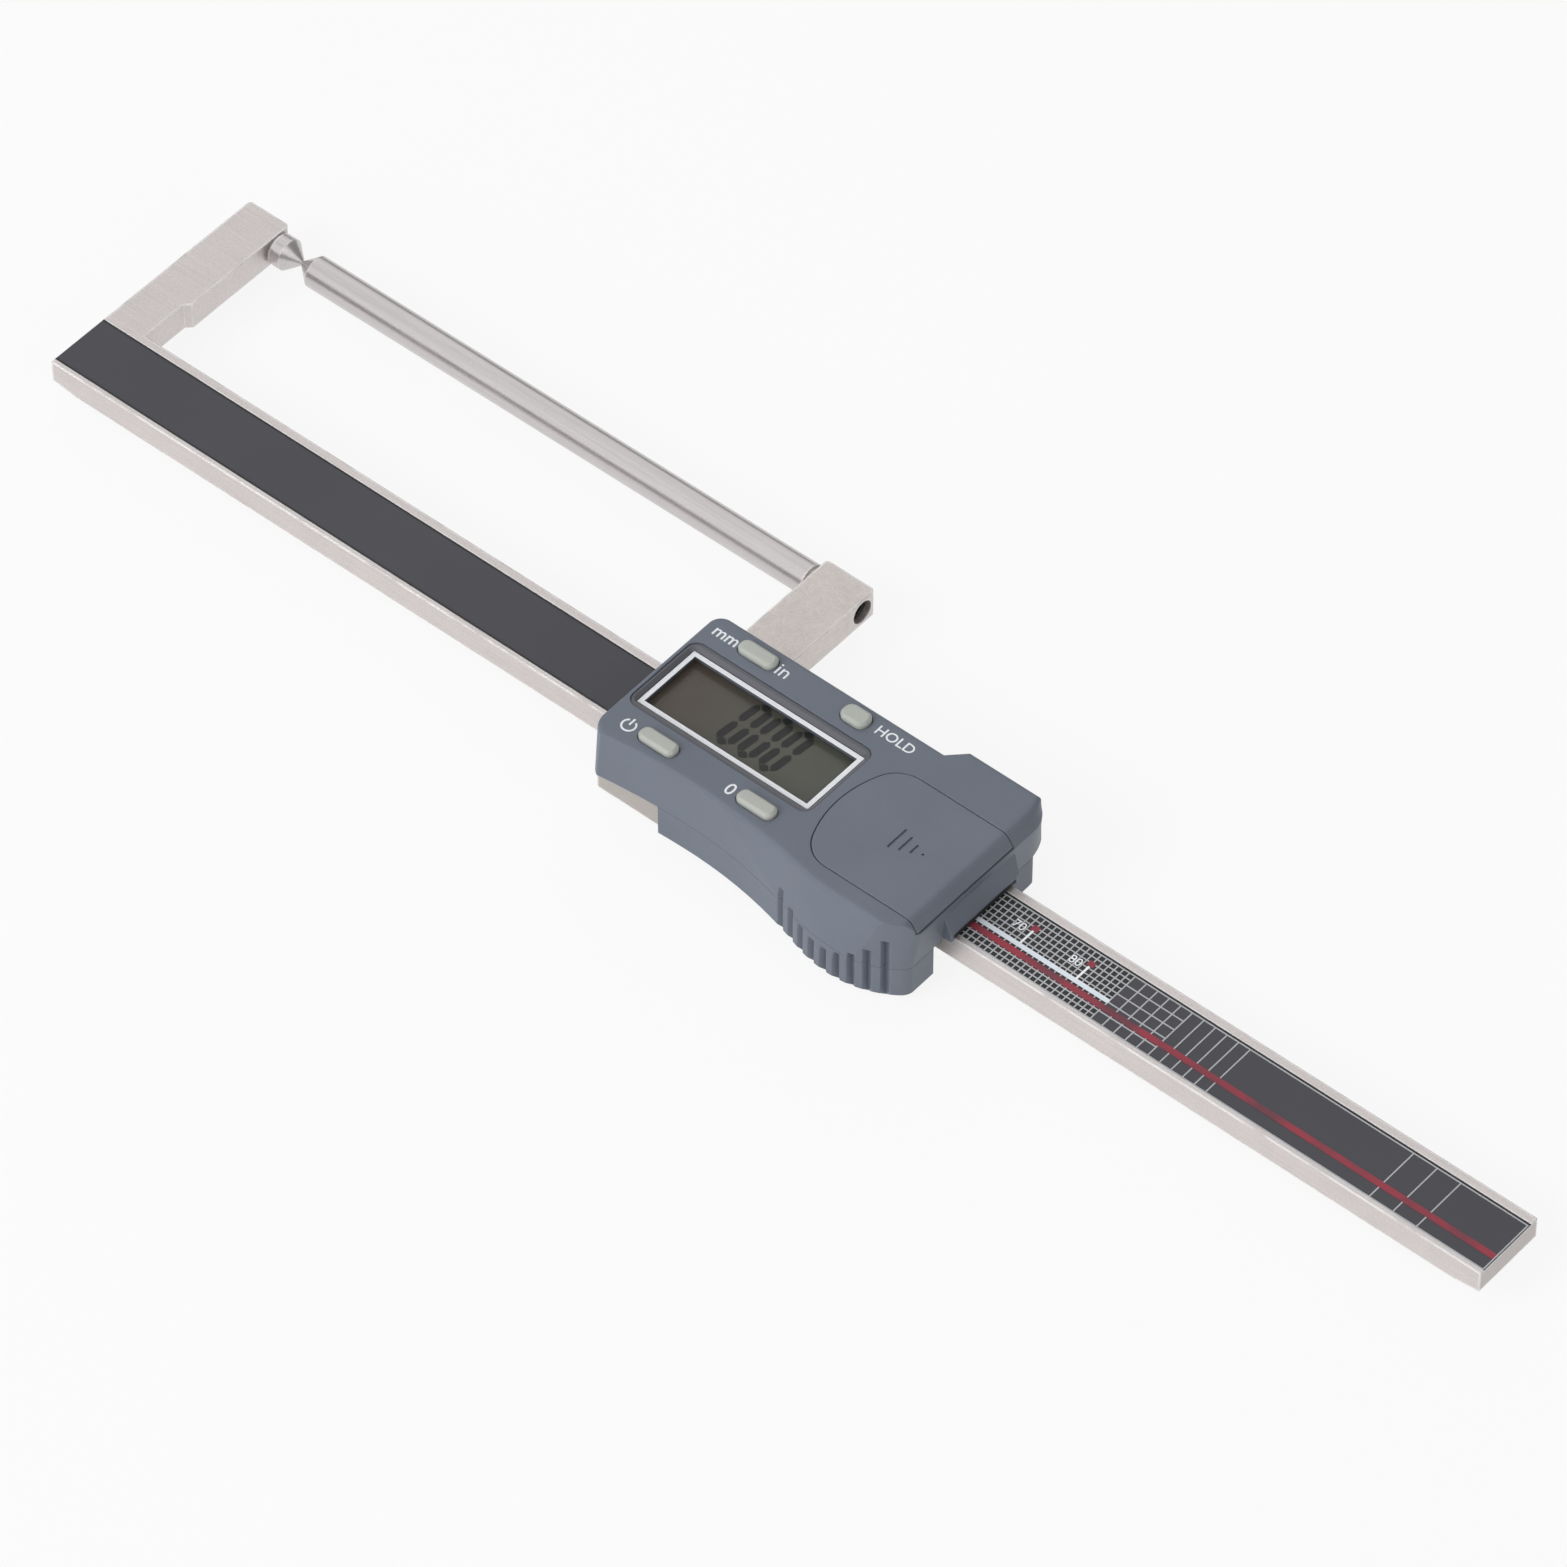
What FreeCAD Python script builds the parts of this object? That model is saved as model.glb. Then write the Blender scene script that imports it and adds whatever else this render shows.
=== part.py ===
"""Digital brake rotor gauge: a graduated beam with a fixed jaw, and a slider with a display.

Millimetres, +Z up, +X along the beam away from the fixed jaw, +Y towards the jaw tips.
The origin is the middle of the slider's flat back, on the beam's centreline, gauge closed.
"""
import FreeCAD, Part
import math
import os
import Sketcher

Vector = FreeCAD.Vector
ALONG_X = FreeCAD.Rotation(Vector(0, 1, 0), 90)
ALONG_Y = FreeCAD.Rotation(Vector(1, 0, 0), -90)
UPRIGHT = FreeCAD.Rotation()

doc = FreeCAD.newDocument("rotor_gauge")
sheet = doc.addObject("Spreadsheet::Sheet", "Dims")
sheet.Label = "driving dimensions"


# Sizes: a value together with the expression that gives it

class Size:
    """A length with the text that binds it to the sheet; sums and products keep both."""

    def __init__(self, value, text):
        self.value = value
        self.text = text

    def __add__(self, other):
        other = as_size(other)
        return Size(self.value + other.value, f"({self.text} + {other.text})")

    def __radd__(self, other):
        return as_size(other) + self

    def __sub__(self, other):
        other = as_size(other)
        return Size(self.value - other.value, f"({self.text} - {other.text})")

    def __rsub__(self, other):
        return as_size(other) - self

    def __mul__(self, other):
        other = as_size(other)
        return Size(self.value * other.value, f"({self.text} * {other.text})")

    def __rmul__(self, other):
        return as_size(other) * self

    def __truediv__(self, other):
        other = as_size(other)
        return Size(self.value / other.value, f"({self.text} / {other.text})")

    def __neg__(self):
        return Size(-self.value, f"(0 - {self.text})")


def as_size(number):
    return number if isinstance(number, Size) else Size(float(number), f"{float(number):.6g}")


def size(alias, value, note):
    """Write one driving dimension in the sheet and give it back as a Size."""
    size.row += 1
    sheet.set(f"A{size.row}", note)
    sheet.set(f"B{size.row}", str(value))
    sheet.setAlias(f"B{size.row}", alias)
    return Size(float(value), f"Dims.{alias}")


size.row = 0

# Beam and fixed jaw
beam_length = size("beam_length", 262.6, "beam, end to end")
beam_left = size("beam_left", -139.7, "end of the beam at the fixed jaw")
beam_width = size("beam_width", 12.6, "beam, across")
beam_thickness = size("beam_thickness", 5.0, "beam, over the scale")
beam_underside = size("beam_underside", 3.0, "back of the beam above the rest plane")
end_taper_length = size("end_taper_length", 9.0, "taper under each end of the beam")
end_taper_drop = size("end_taper_drop", 1.2, "height lost in the end taper")
back_chamfer = size("back_chamfer", 0.6, "chamfer along the beam's back edges")
electrode_inset = size("electrode_inset", 4.0, "electrode strip ends this far inside the beam's ends")
label_width = size("label_width", 10.4, "printed strip, across")
label_offset = size("label_offset", -0.3, "middle of the printed strip from the centreline")
label_thickness = size("label_thickness", 0.15, "printed strip")
scale_width = size("scale_width", 9.0, "electrode strip under the print")
scale_thickness = size("scale_thickness", 0.8, "electrode strip under the print")
jaw_reach = size("jaw_reach", 36.7, "beam centreline to the end of both jaws")
jaw_thickness = size("jaw_thickness", 4.8, "both jaws")
jaw_root_width = size("jaw_root_width", 6.9, "fixed jaw beside the beam")
jaw_tip_width = size("jaw_tip_width", 7.8, "fixed jaw at its end")
jaw_step_reach = size("jaw_step_reach", 14.6, "beam centreline to the step of the fixed jaw")
moving_jaw_width = size("moving_jaw_width", 9.0, "moving jaw, along the beam")
jaw_edge_break = size("jaw_edge_break", 0.4, "chamfer on the jaws' ends")

# Measuring tips
tip_inset = size("tip_inset", 2.8, "axis of the tips from the jaws' ends")
tip_diameter = size("tip_diameter", 5.2, "anvil and rod")
tip_cone_length = size("tip_cone_length", 2.6, "cone at each tip")
tip_flat = size("tip_flat", 0.8, "flat on the point of each tip")
tip_gap = size("tip_gap", 0.02, "between the tips at the zero stop")
anvil_length = size("anvil_length", 5.1, "jaw face to the point of the anvil")
neck_length = size("neck_length", 0.5, "relief ring where a tip meets its jaw")
neck_diameter = size("neck_diameter", 4.2, "relief ring")
spigot_diameter = size("spigot_diameter", 3.0, "stub that seats the rod and the anvil")
spigot_length = size("spigot_length", 4.0, "stub in the jaw")
head_bore = size("head_bore", 3.9, "hole for the screw that holds the rod")
head_depth = size("head_depth", 3.0, "that hole, deep")
head_sunk = size("head_sunk", 1.0, "screw's head below the jaw's face")
socket_radius = size("socket_radius", 1.15, "hexagon socket in that screw, corner to middle")
socket_depth = size("socket_depth", 1.2, "hexagon socket")
seat_clearance = size("seat_clearance", 0.02, "stub in its bore")

# Slider frame
slider_left = size("slider_left", -28.3, "left face of the slider frame and the moving jaw")
frame_right = size("frame_right", 25.3, "right end of the slider frame")
frame_bare_length = size("frame_bare_length", 11.3, "part of the frame that the grip leaves bare")
frame_near_bare = size("frame_near_bare", 12.7, "centreline to the frame's bare near face")
frame_near = size("frame_near", 11.4, "centreline to the frame's near face in the grip")
frame_far = size("frame_far", 11.8, "centreline to the frame's far face")
foot_bevel = size("foot_bevel", 1.4, "bevel under the frame's bare part")
foot_left = size("foot_left", -29.0, "left end of the frame's bare part, under the cover")
back_plate = size("back_plate", 1.0, "back of the grip shell under the frame")
running = size("running", 0.05, "running clearance on the beam")
fit = size("fit", 0.1, "clearance between pieces that are fastened together")
gib_thickness = size("gib_thickness", 0.8, "brass strip on the beam's near edge")
gib_height = size("gib_height", 3.6, "brass strip")
gib_length = size("gib_length", 40.0, "brass strip")
spring_room = size("spring_room", 0.8, "behind the brass strip")
spring_thickness = size("spring_thickness", 0.3, "bowed spring behind the strip")
spring_length = size("spring_length", 26.0, "bowed spring")

# Guide plate and electronics
plate_thickness = size("plate_thickness", 0.7, "guide plate over the beam")
plate_left = size("plate_left", -22.0, "guide plate")
plate_right = size("plate_right", 24.8, "guide plate")
plate_half_width = size("plate_half_width", 11.0, "guide plate")
guide_screw_radius = size("guide_screw_radius", 0.6, "guide plate screws")
guide_screw_depth = size("guide_screw_depth", 2.0, "guide plate screws in the frame")
guide_screw_edge = size("guide_screw_edge", 1.6, "guide plate screws from the plate's long edges")
guide_screw_end = size("guide_screw_end", 2.0, "guide plate screws from the plate's ends")
window_left = size("window_left", -16.0, "opening for the pickup board")
window_length = size("window_length", 24.0, "opening for the pickup board")
window_width = size("window_width", 9.4, "opening for the pickup board")
pickup_gap = size("pickup_gap", 0.12, "pickup board above the print")
board_thickness = size("board_thickness", 1.2, "circuit board")
board_left = size("board_left", -26.6, "circuit board's tongue")
board_shoulder = size("board_shoulder", -22.6, "full width of the circuit board starts here")
board_right = size("board_right", 21.4, "circuit board")
board_half_width = size("board_half_width", 12.0, "circuit board")
tongue_half_width = size("tongue_half_width", 8.0, "circuit board's tongue")
chip_side = size("chip_side", 7.0, "measuring chip")
chip_height = size("chip_height", 0.9, "measuring chip")
display_middle = size("display_middle", -11.4, "middle of the display")
display_length = size("display_length", 31.4, "clear window")
display_width = size("display_width", 12.5, "clear window")
window_pane = size("window_pane", 0.6, "clear window's thickness")
bezel_length = size("bezel_length", 33.2, "black bezel")
bezel_width = size("bezel_width", 15.1, "black bezel")
bezel_height = size("bezel_height", 1.2, "black bezel")
bezel_corner = size("bezel_corner", 1.8, "outer corners of the bezel")
bezel_sunk = size("bezel_sunk", 0.2, "bezel below the cover's top face")
window_corner = size("window_corner", 0.6, "corners of the clear window")
bezel_slope_width = size("bezel_slope_width", 0.5, "run of the bezel's sloping inner faces")
display_lip = size("display_lip", 0.4, "ledge of the cover under the window")
display_rim = size("display_rim", 1.1, "that ledge, out past the bezel")
display_ledge = size("display_ledge", 0.6, "thickness of that ledge")
glass_length = size("glass_length", 31.2, "liquid-crystal glass")
glass_width = size("glass_width", 12.4, "liquid-crystal glass")
glass_thickness = size("glass_thickness", 1.8, "liquid-crystal glass")
connector_width = size("connector_width", 1.6, "rubber connector strips")
connector_length = size("connector_length", 27.0, "rubber connector strips")

# Top cover
cover_bottom = size("cover_bottom", 6.5, "parting line above the rest plane")
cover_bend = size("cover_bend", 13.8, "where the right end starts to slope")
cover_top = size("cover_top", 16.0, "top face above the rest plane")
cover_left = size("cover_left", -28.8, "left end at the top face")
cover_right = size("cover_right", 30.1, "right end, at its farthest")
right_slope_width = size("right_slope_width", 1.5, "run of the slope above the right end")
right_under_width = size("right_under_width", 1.0, "right end draws in below, to the parting line")
left_lean_width = size("left_lean_width", 0.7, "left end leans out, to the rest plane")
near_corner_top = size("near_corner_top", 14.7, "near left corner of the top face from the centreline")
near_waist_top = size("near_waist_top", 13.45, "near edge of the top face at the finger waist")
near_crest_top = size("near_crest_top", 16.15, "near edge of the top face over the grip")
near_corner_lean = size("near_corner_lean", 0.5, "near left corner leans out, to the rest plane")
near_waist_lean = size("near_waist_lean", 0.6, "near face leans out at the waist")
near_crest_lean = size("near_crest_lean", 2.5, "near face leans out over the grip")
waist_x = size("waist_x", -11.0, "narrowest place of the finger waist along the beam")
crest_x = size("crest_x", 18.0, "widest place of the grip along the beam")
swell_share = size("swell_share", 0.76, "share of the swell that is hollow, the rest is round")
wall_corner = size("wall_corner", 15.1, "upright grip wall past the left end")
wall_waist = size("wall_waist", 13.4, "upright grip wall at the waist")
wall_crest = size("wall_crest", 17.95, "upright grip wall at the crest")
wall_end_arc = size("wall_end_arc", 16.9, "radius of the grip to the right of its crest")
wall_end_corner = size("wall_end_corner", 2.5, "radius of the grip's right corner")
far_top = size("far_top", 13.6, "centreline to the far edge of the top face")
far_lean_width = size("far_lean_width", 1.0, "far wall leans out, to the rest plane")
far_bulge_top = size("far_bulge_top", 16.2, "far edge beside the battery")
far_ramp_left = size("far_ramp_left", 12.6, "start of the ramp to the far bulge")
ramp_run = size("ramp_run", 2.6, "length of that ramp")
far_end_x = size("far_end_x", 27.9, "far edge ends here, at the right")
far_end_y = size("far_end_y", 12.0, "the right end turns in from here to the far edge")
corner_top = size("corner_top", 2.2, "corners of the cover")
corner_near_left = size("corner_near_left", 3.4, "its near left corner")
edge_round = size("edge_round", 0.7, "rounding of the top face's edge")
EDGE_STEPS = 3
cover_wall = size("cover_wall", 1.4, "top wall and left end wall of the cover")
end_wall = size("end_wall", 2.5, "right end wall of the cover at its foot")
cavity_half_width = size("cavity_half_width", 12.35, "inside of the cover, either side")
cavity_bulge = size("cavity_bulge", 2.0, "wall where the cover bulges")
cavity_turn = size("cavity_turn", 11.0, "where the rooms inside widen into the grip")
slot_half_width = size("slot_half_width", 6.75, "opening for the beam")
slot_top = size("slot_top", 9.3, "opening for the beam")
hood_reach = size("hood_reach", 1.2, "hood over the slot, out from the right end")
hood_wall = size("hood_wall", 0.6, "hood beside the slot")
hood_flare = size("hood_flare", 0.9, "hood's far side leans out at the top")
hood_top = size("hood_top", 12.8, "where the hood leaves the right end")
hood_bottom = size("hood_bottom", 8.2, "foot of the hood's cheeks")
hood_set = size("hood_set", 0.4, "that place inside the right end's farthest reach")
boss_radius = size("boss_radius", 1.7, "screw bosses")
screw_left = size("screw_left", -25.0, "left pair of cover screws")
screw_left_spread = size("screw_left_spread", 9.9, "left pair from the centreline")
screw_near_x = size("screw_near_x", 23.2, "cover screw in the grip")
screw_near_y = size("screw_near_y", -14.0, "cover screw in the grip")
screw_far_x = size("screw_far_x", 27.0, "cover screw in the far right corner")
screw_far_y = size("screw_far_y", 11.3, "cover screw in the far right corner")
screw_radius = size("screw_radius", 0.7, "cover screw, shank")
screw_head_radius = size("screw_head_radius", 1.3, "cover screw, head")
screw_head_height = size("screw_head_height", 0.9, "cover screw, head")
screw_bite = size("screw_bite", 4.0, "cover screw in its boss")

# Buttons
button_pitch = size("button_pitch", 18.0, "between buttons along the beam")
button_left = size("button_left", -19.1, "first pair of buttons")
button_spread = size("button_spread", 10.75, "buttons from the centreline")
button_length = size("button_length", 6.5, "long buttons")
button_width = size("button_width", 2.6, "long buttons")
hold_length = size("hold_length", 4.6, "short button")
hold_width = size("hold_width", 3.1, "short button")
button_proud = size("button_proud", 0.9, "buttons above the top face")
button_travel = size("button_travel", 0.5, "press")
button_gap = size("button_gap", 0.12, "round each button")
button_edge = size("button_edge", 0.4, "bevelled edge of each button")
button_pill = size("button_pill", 0.85, "corner radius of a button as a share of half its width")
flange_reach = size("flange_reach", 0.8, "collar that keeps a button in")
flange_height = size("flange_height", 1.0, "collar")
dome_radius = size("dome_radius", 1.25, "snap domes")
dome_height = size("dome_height", 0.5, "snap domes")

# Battery and its cover
cell_x = size("cell_x", 17.0, "middle of the coin cell")
cell_y = size("cell_y", -2.7, "middle of the coin cell and its cover")
cell_room = size("cell_room", 0.3, "round the coin cell")
cell_diameter = size("cell_diameter", 20.0, "coin cell")
cell_thickness = size("cell_thickness", 3.2, "coin cell")
cell_step = size("cell_step", 0.5, "height of the step at the coin cell's foot")
cell_cap = size("cell_cap", 8.5, "radius of the coin cell below that step")
lid_left = size("lid_left", 6.9, "left end of the battery cover")
lid_half_width = size("lid_half_width", 10.35, "battery cover, either side of the cell's middle")
lid_round = size("lid_round", 18.0, "radius of that end")
lid_corner = size("lid_corner", 5.2, "corners of that end")
lid_shadow = size("lid_shadow", 0.3, "open line under the battery cover's sloping end")
lid_gap = size("lid_gap", 0.15, "round the battery cover")
lid_thickness = size("lid_thickness", 1.3, "battery cover")
cup_wall = size("cup_wall", 0.7, "ring round the coin cell")
contact_width = size("contact_width", 4.0, "battery contacts")
contact_thickness = size("contact_thickness", 0.3, "battery contacts")
grip_line_x = size("grip_line_x", 17.6, "longest grip line on the battery cover")
grip_line_length = size("grip_line_length", 4.15, "longest grip line")
grip_line_step = size("grip_line_step", 1.15, "each next grip line shorter by")
grip_line_width = size("grip_line_width", 0.35, "grip lines")
grip_line_depth = size("grip_line_depth", 0.25, "grip lines")
grip_line_pitch = size("grip_line_pitch", 1.55, "grip lines")
lid_travel = size("lid_travel", 22.0, "battery cover, slid open")
GRIP_LINES = 4

# Grip shell
shell_right = size("shell_right", 29.1, "right end of the grip shell")
wing_far = size("wing_far", 14.0, "far wing")
shell_corner = size("shell_corner", 1.2, "far right corner of the grip shell")
shell_gap = size("shell_gap", 0.05, "seam between the grip shell and the top cover")
beam_notch = size("beam_notch", 8.5, "notch at the right end, either side")
base_bevel = size("base_bevel", 1.0, "bevel under the grip shell")
hollow_wall = size("hollow_wall", 2.4, "wall of the hollow in the grip")
groove_left = size("groove_left", 7.4, "first grip groove")
groove_pitch = size("groove_pitch", 2.37, "grip grooves")
groove_half_width = size("groove_half_width", 0.7, "half the mouth of a grip groove")
groove_depth = size("groove_depth", 0.9, "grip grooves")
groove_fade = size("groove_fade", 2.4, "height over which a groove runs out at its top")
groove_low = size("groove_low", 6.9, "lowest groove end")
groove_middle = size("groove_middle", 15.5, "that groove end along the beam")
groove_rise = size("groove_rise", 0.056, "how fast the groove ends rise, per millimetre squared")
GROOVES = 9

# Stops and wipers
stop_from_end = size("stop_from_end", 12.6, "end stop plate to the beam's free end")
stop_length = size("stop_length", 5.0, "end stop plate")
stop_width = size("stop_width", 9.0, "end stop plate")
stop_thickness = size("stop_thickness", 1.4, "end stop plate")
stop_screw_radius = size("stop_screw_radius", 1.0, "end stop screws")
stop_screw_depth = size("stop_screw_depth", 2.2, "end stop screws in the beam")
stop_head_radius = size("stop_head_radius", 1.8, "end stop screws, head")
stop_head_height = size("stop_head_height", 0.7, "end stop screws, head")
wiper_length = size("wiper_length", 1.4, "rubber wipers")
wiper_inset = size("wiper_inset", 0.2, "wiper behind the hood's edge")
wall_over_screw = size("wall_over_screw", 0.8, "boss past the end of its screw")
overrun = size("overrun", 1.0, "how far cutters run past faces, and joined shapes into each other")

doc.recompute()

# Heights and places that follow from the driving dimensions
beam_right = beam_left + beam_length
beam_top = beam_underside + beam_thickness
half_beam = beam_width / 2
jaw_bottom = beam_top - jaw_thickness
tip_height = beam_top - jaw_thickness / 2
tip_axis_reach = jaw_reach - tip_inset
fixed_face = beam_left + jaw_tip_width
contact_x = fixed_face + anvil_length
moving_jaw_right = slider_left + moving_jaw_width
frame_top = beam_top + running
plate_top = frame_top + plate_thickness
board_top = plate_top + board_thickness
ceiling = cover_top - cover_wall
ledge_top = cover_top - bezel_sunk - bezel_height
ledge_bottom = ledge_top - display_ledge
glass_top = ledge_bottom - fit
bare_right = slider_left + frame_bare_length
channel_near = half_beam + running + gib_thickness + spring_room
button_columns = (button_left, button_left + button_pitch)
stop_left = beam_right - stop_from_end - stop_length
stop_middle = stop_left + stop_length / 2
cavity_right = cover_right - end_wall
hood_face = cover_right + hood_reach
hood_side = slot_half_width + hood_wall
cell_bottom = ceiling - fit - cell_thickness
lid_bottom = cover_top - lid_thickness


# Helpers for primitives and booleans

def bind(thing, name, length):
    length = as_size(length)
    thing.setExpression(name, length.text)


def put(thing, x, y, z, turn=UPRIGHT):
    """Place a piece by bound coordinates."""
    thing.Placement = FreeCAD.Placement(Vector(0, 0, 0), turn)
    for axis, length in (("x", x), ("y", y), ("z", z)):
        bind(thing, f"Placement.Base.{axis}", length)
    return thing


def box(name, x, y, z):
    """A block between two bound coordinates along each axis."""
    block = doc.addObject("Part::Box", name)
    for side, span in (("Length", x), ("Width", y), ("Height", z)):
        bind(block, side, as_size(span[1]) - span[0])
    return put(block, x[0], y[0], z[0])


def rod(name, radius, length, x, y, z, turn=UPRIGHT):
    cylinder = doc.addObject("Part::Cylinder", name)
    bind(cylinder, "Radius", radius)
    bind(cylinder, "Height", length)
    return put(cylinder, x, y, z, turn)


def cone(name, low, high, length, x, y, z, turn=UPRIGHT):
    taper = doc.addObject("Part::Cone", name)
    bind(taper, "Radius1", low)
    bind(taper, "Radius2", high)
    bind(taper, "Height", length)
    return put(taper, x, y, z, turn)


def joined(name, *pieces):
    fused = doc.addObject("Part::MultiFuse", name)
    fused.Shapes = list(pieces)
    return fused


def without(name, base, *tools):
    """The base with every tool taken away."""
    cut = doc.addObject("Part::Cut", name)
    cut.Base = base
    cut.Tool = tools[0] if len(tools) == 1 else group(name + "_tools", *tools)
    return cut


def shared(name, first, second):
    common = doc.addObject("Part::Common", name)
    common.Base = first
    common.Tool = second
    return common


def group(name, *pieces):
    compound = doc.addObject("Part::Compound", name)
    compound.Links = list(pieces)
    return compound


def label(thing, name):
    thing.Label = name
    sub_parts.append(thing)
    return thing


sub_parts = []


# Helpers for bodies and sketches

def new_body(name):
    body = doc.addObject("PartDesign::Body", name + "_body")
    return body


def sketch_on(body, role, name, height=0):
    """A sketch on one of the body's own origin planes, lifted by a bound height."""
    sketch = body.newObject("Sketcher::SketchObject", name)
    plane = [item for item in body.Origin.OriginFeatures if item.Role == role][0]
    sketch.AttachmentSupport = (plane, [""])
    sketch.MapMode = "FlatFace"
    bind(sketch, "AttachmentOffset.Base.z", height)
    return sketch


def arc_centre(start, end, radius, turn):
    """Centre of the short arc from start to end; turn is 1 counter-clockwise, -1 clockwise."""
    half = (end - start) * 0.5
    rise = math.sqrt(max(radius ** 2 - half.Length ** 2, 0.0))
    across = Vector(-half.y, half.x, 0).normalize()
    return start + half + across * rise * turn


def outline(sketch, *corners):
    """Draw a closed outline through bound corners.

    A corner is (x, y), or (x, y, radius, turn) where the edge that reaches it is an arc.
    """
    places = [tuple(as_size(value) for value in corner[:2]) for corner in corners]
    points = [Vector(x.value, y.value, 0) for x, y in places]
    ends = []
    first = sketch.GeometryCount
    for index, corner in enumerate(corners):
        start = points[index - 1]
        end = points[index]
        if len(corner) == 2:
            sketch.addGeometry(Part.LineSegment(start, end), False)
            ends.append((1, 2))
            continue
        radius, turn = as_size(corner[2]), corner[3]
        centre = arc_centre(start, end, radius.value, turn)
        low, high = (start, end) if turn > 0 else (end, start)
        angles = [math.atan2(point.y - centre.y, point.x - centre.x) for point in (low, high)]
        circle = Part.Circle(centre, Vector(0, 0, 1), radius.value)
        sketch.addGeometry(Part.ArcOfCircle(circle, angles[0], angles[1]), False)
        ends.append((1, 2) if turn > 0 else (2, 1))
    count = len(corners)
    for index in range(count):
        after = (index + 1) % count
        sketch.addConstraint(Sketcher.Constraint(
            "Coincident", first + index, ends[index][1], first + after, ends[after][0]))
    for index, corner in enumerate(corners):
        for kind, length in zip(("DistanceX", "DistanceY"), places[index]):
            number = sketch.addConstraint(Sketcher.Constraint(
                kind, -1, 1, first + index, ends[index][1], length.value))
            sketch.setExpression(f"Constraints[{number}]", length.text)
        if len(corner) == 4:
            radius = as_size(corner[2])
            number = sketch.addConstraint(Sketcher.Constraint("Radius", first + index, radius.value))
            sketch.setExpression(f"Constraints[{number}]", radius.text)
    return sketch


def round_box(sketch, x0, x1, y0, y1, radius):
    """A rectangle with four equal round corners."""
    return outline(
        sketch,
        (x1 - radius, y0), (x1, y0 + radius, radius, 1),
        (x1, y1 - radius), (x1 - radius, y1, radius, 1),
        (x0 + radius, y1), (x0, y1 - radius, radius, 1),
        (x0, y0 + radius), (x0 + radius, y0, radius, 1))


def pad(body, sketch, length, name, back=False):
    feature = body.newObject("PartDesign::Pad", name)
    feature.Profile = sketch
    bind(feature, "Length", length)
    feature.Reversed = back
    return feature


def pocket(body, sketch, length, name, back=False):
    feature = body.newObject("PartDesign::Pocket", name)
    feature.Profile = sketch
    bind(feature, "Length", length)
    feature.Reversed = back
    return feature


def loft(body, sketches, name):
    feature = body.newObject("PartDesign::AdditiveLoft", name)
    feature.Profile = sketches[0]
    feature.Sections = sketches[1:]
    feature.Ruled = True
    return feature


def turned(body, sketch, name, axis="H_Axis"):
    feature = body.newObject("PartDesign::Revolution", name)
    feature.Profile = sketch
    feature.ReferenceAxis = (sketch, [axis])
    feature.Angle = 360.0
    return feature


def dress(body, kind, name, base, edges, length):
    """Round or chamfer the named edges of a feature."""
    feature = body.newObject(f"PartDesign::{kind}", name)
    feature.Base = (base, edges)
    bind(feature, "Radius" if kind == "Fillet" else "Size", length)
    return feature


def edges_where(feature, test):
    """Names of a feature's edges whose ends and middle all pass a test on their place."""
    names = []
    for index, edge in enumerate(feature.Shape.Edges, 1):
        low, high = edge.ParameterRange
        places = [edge.valueAt(low + (high - low) * share) for share in (0.02, 0.5, 0.98)]
        if all(test(place) for place in places):
            names.append(f"Edge{index}")
    return names


def near(first, second, within=1e-4):
    return abs(first - as_size(second).value) < within


# Beam with its fixed jaw, ground from one bar

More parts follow.
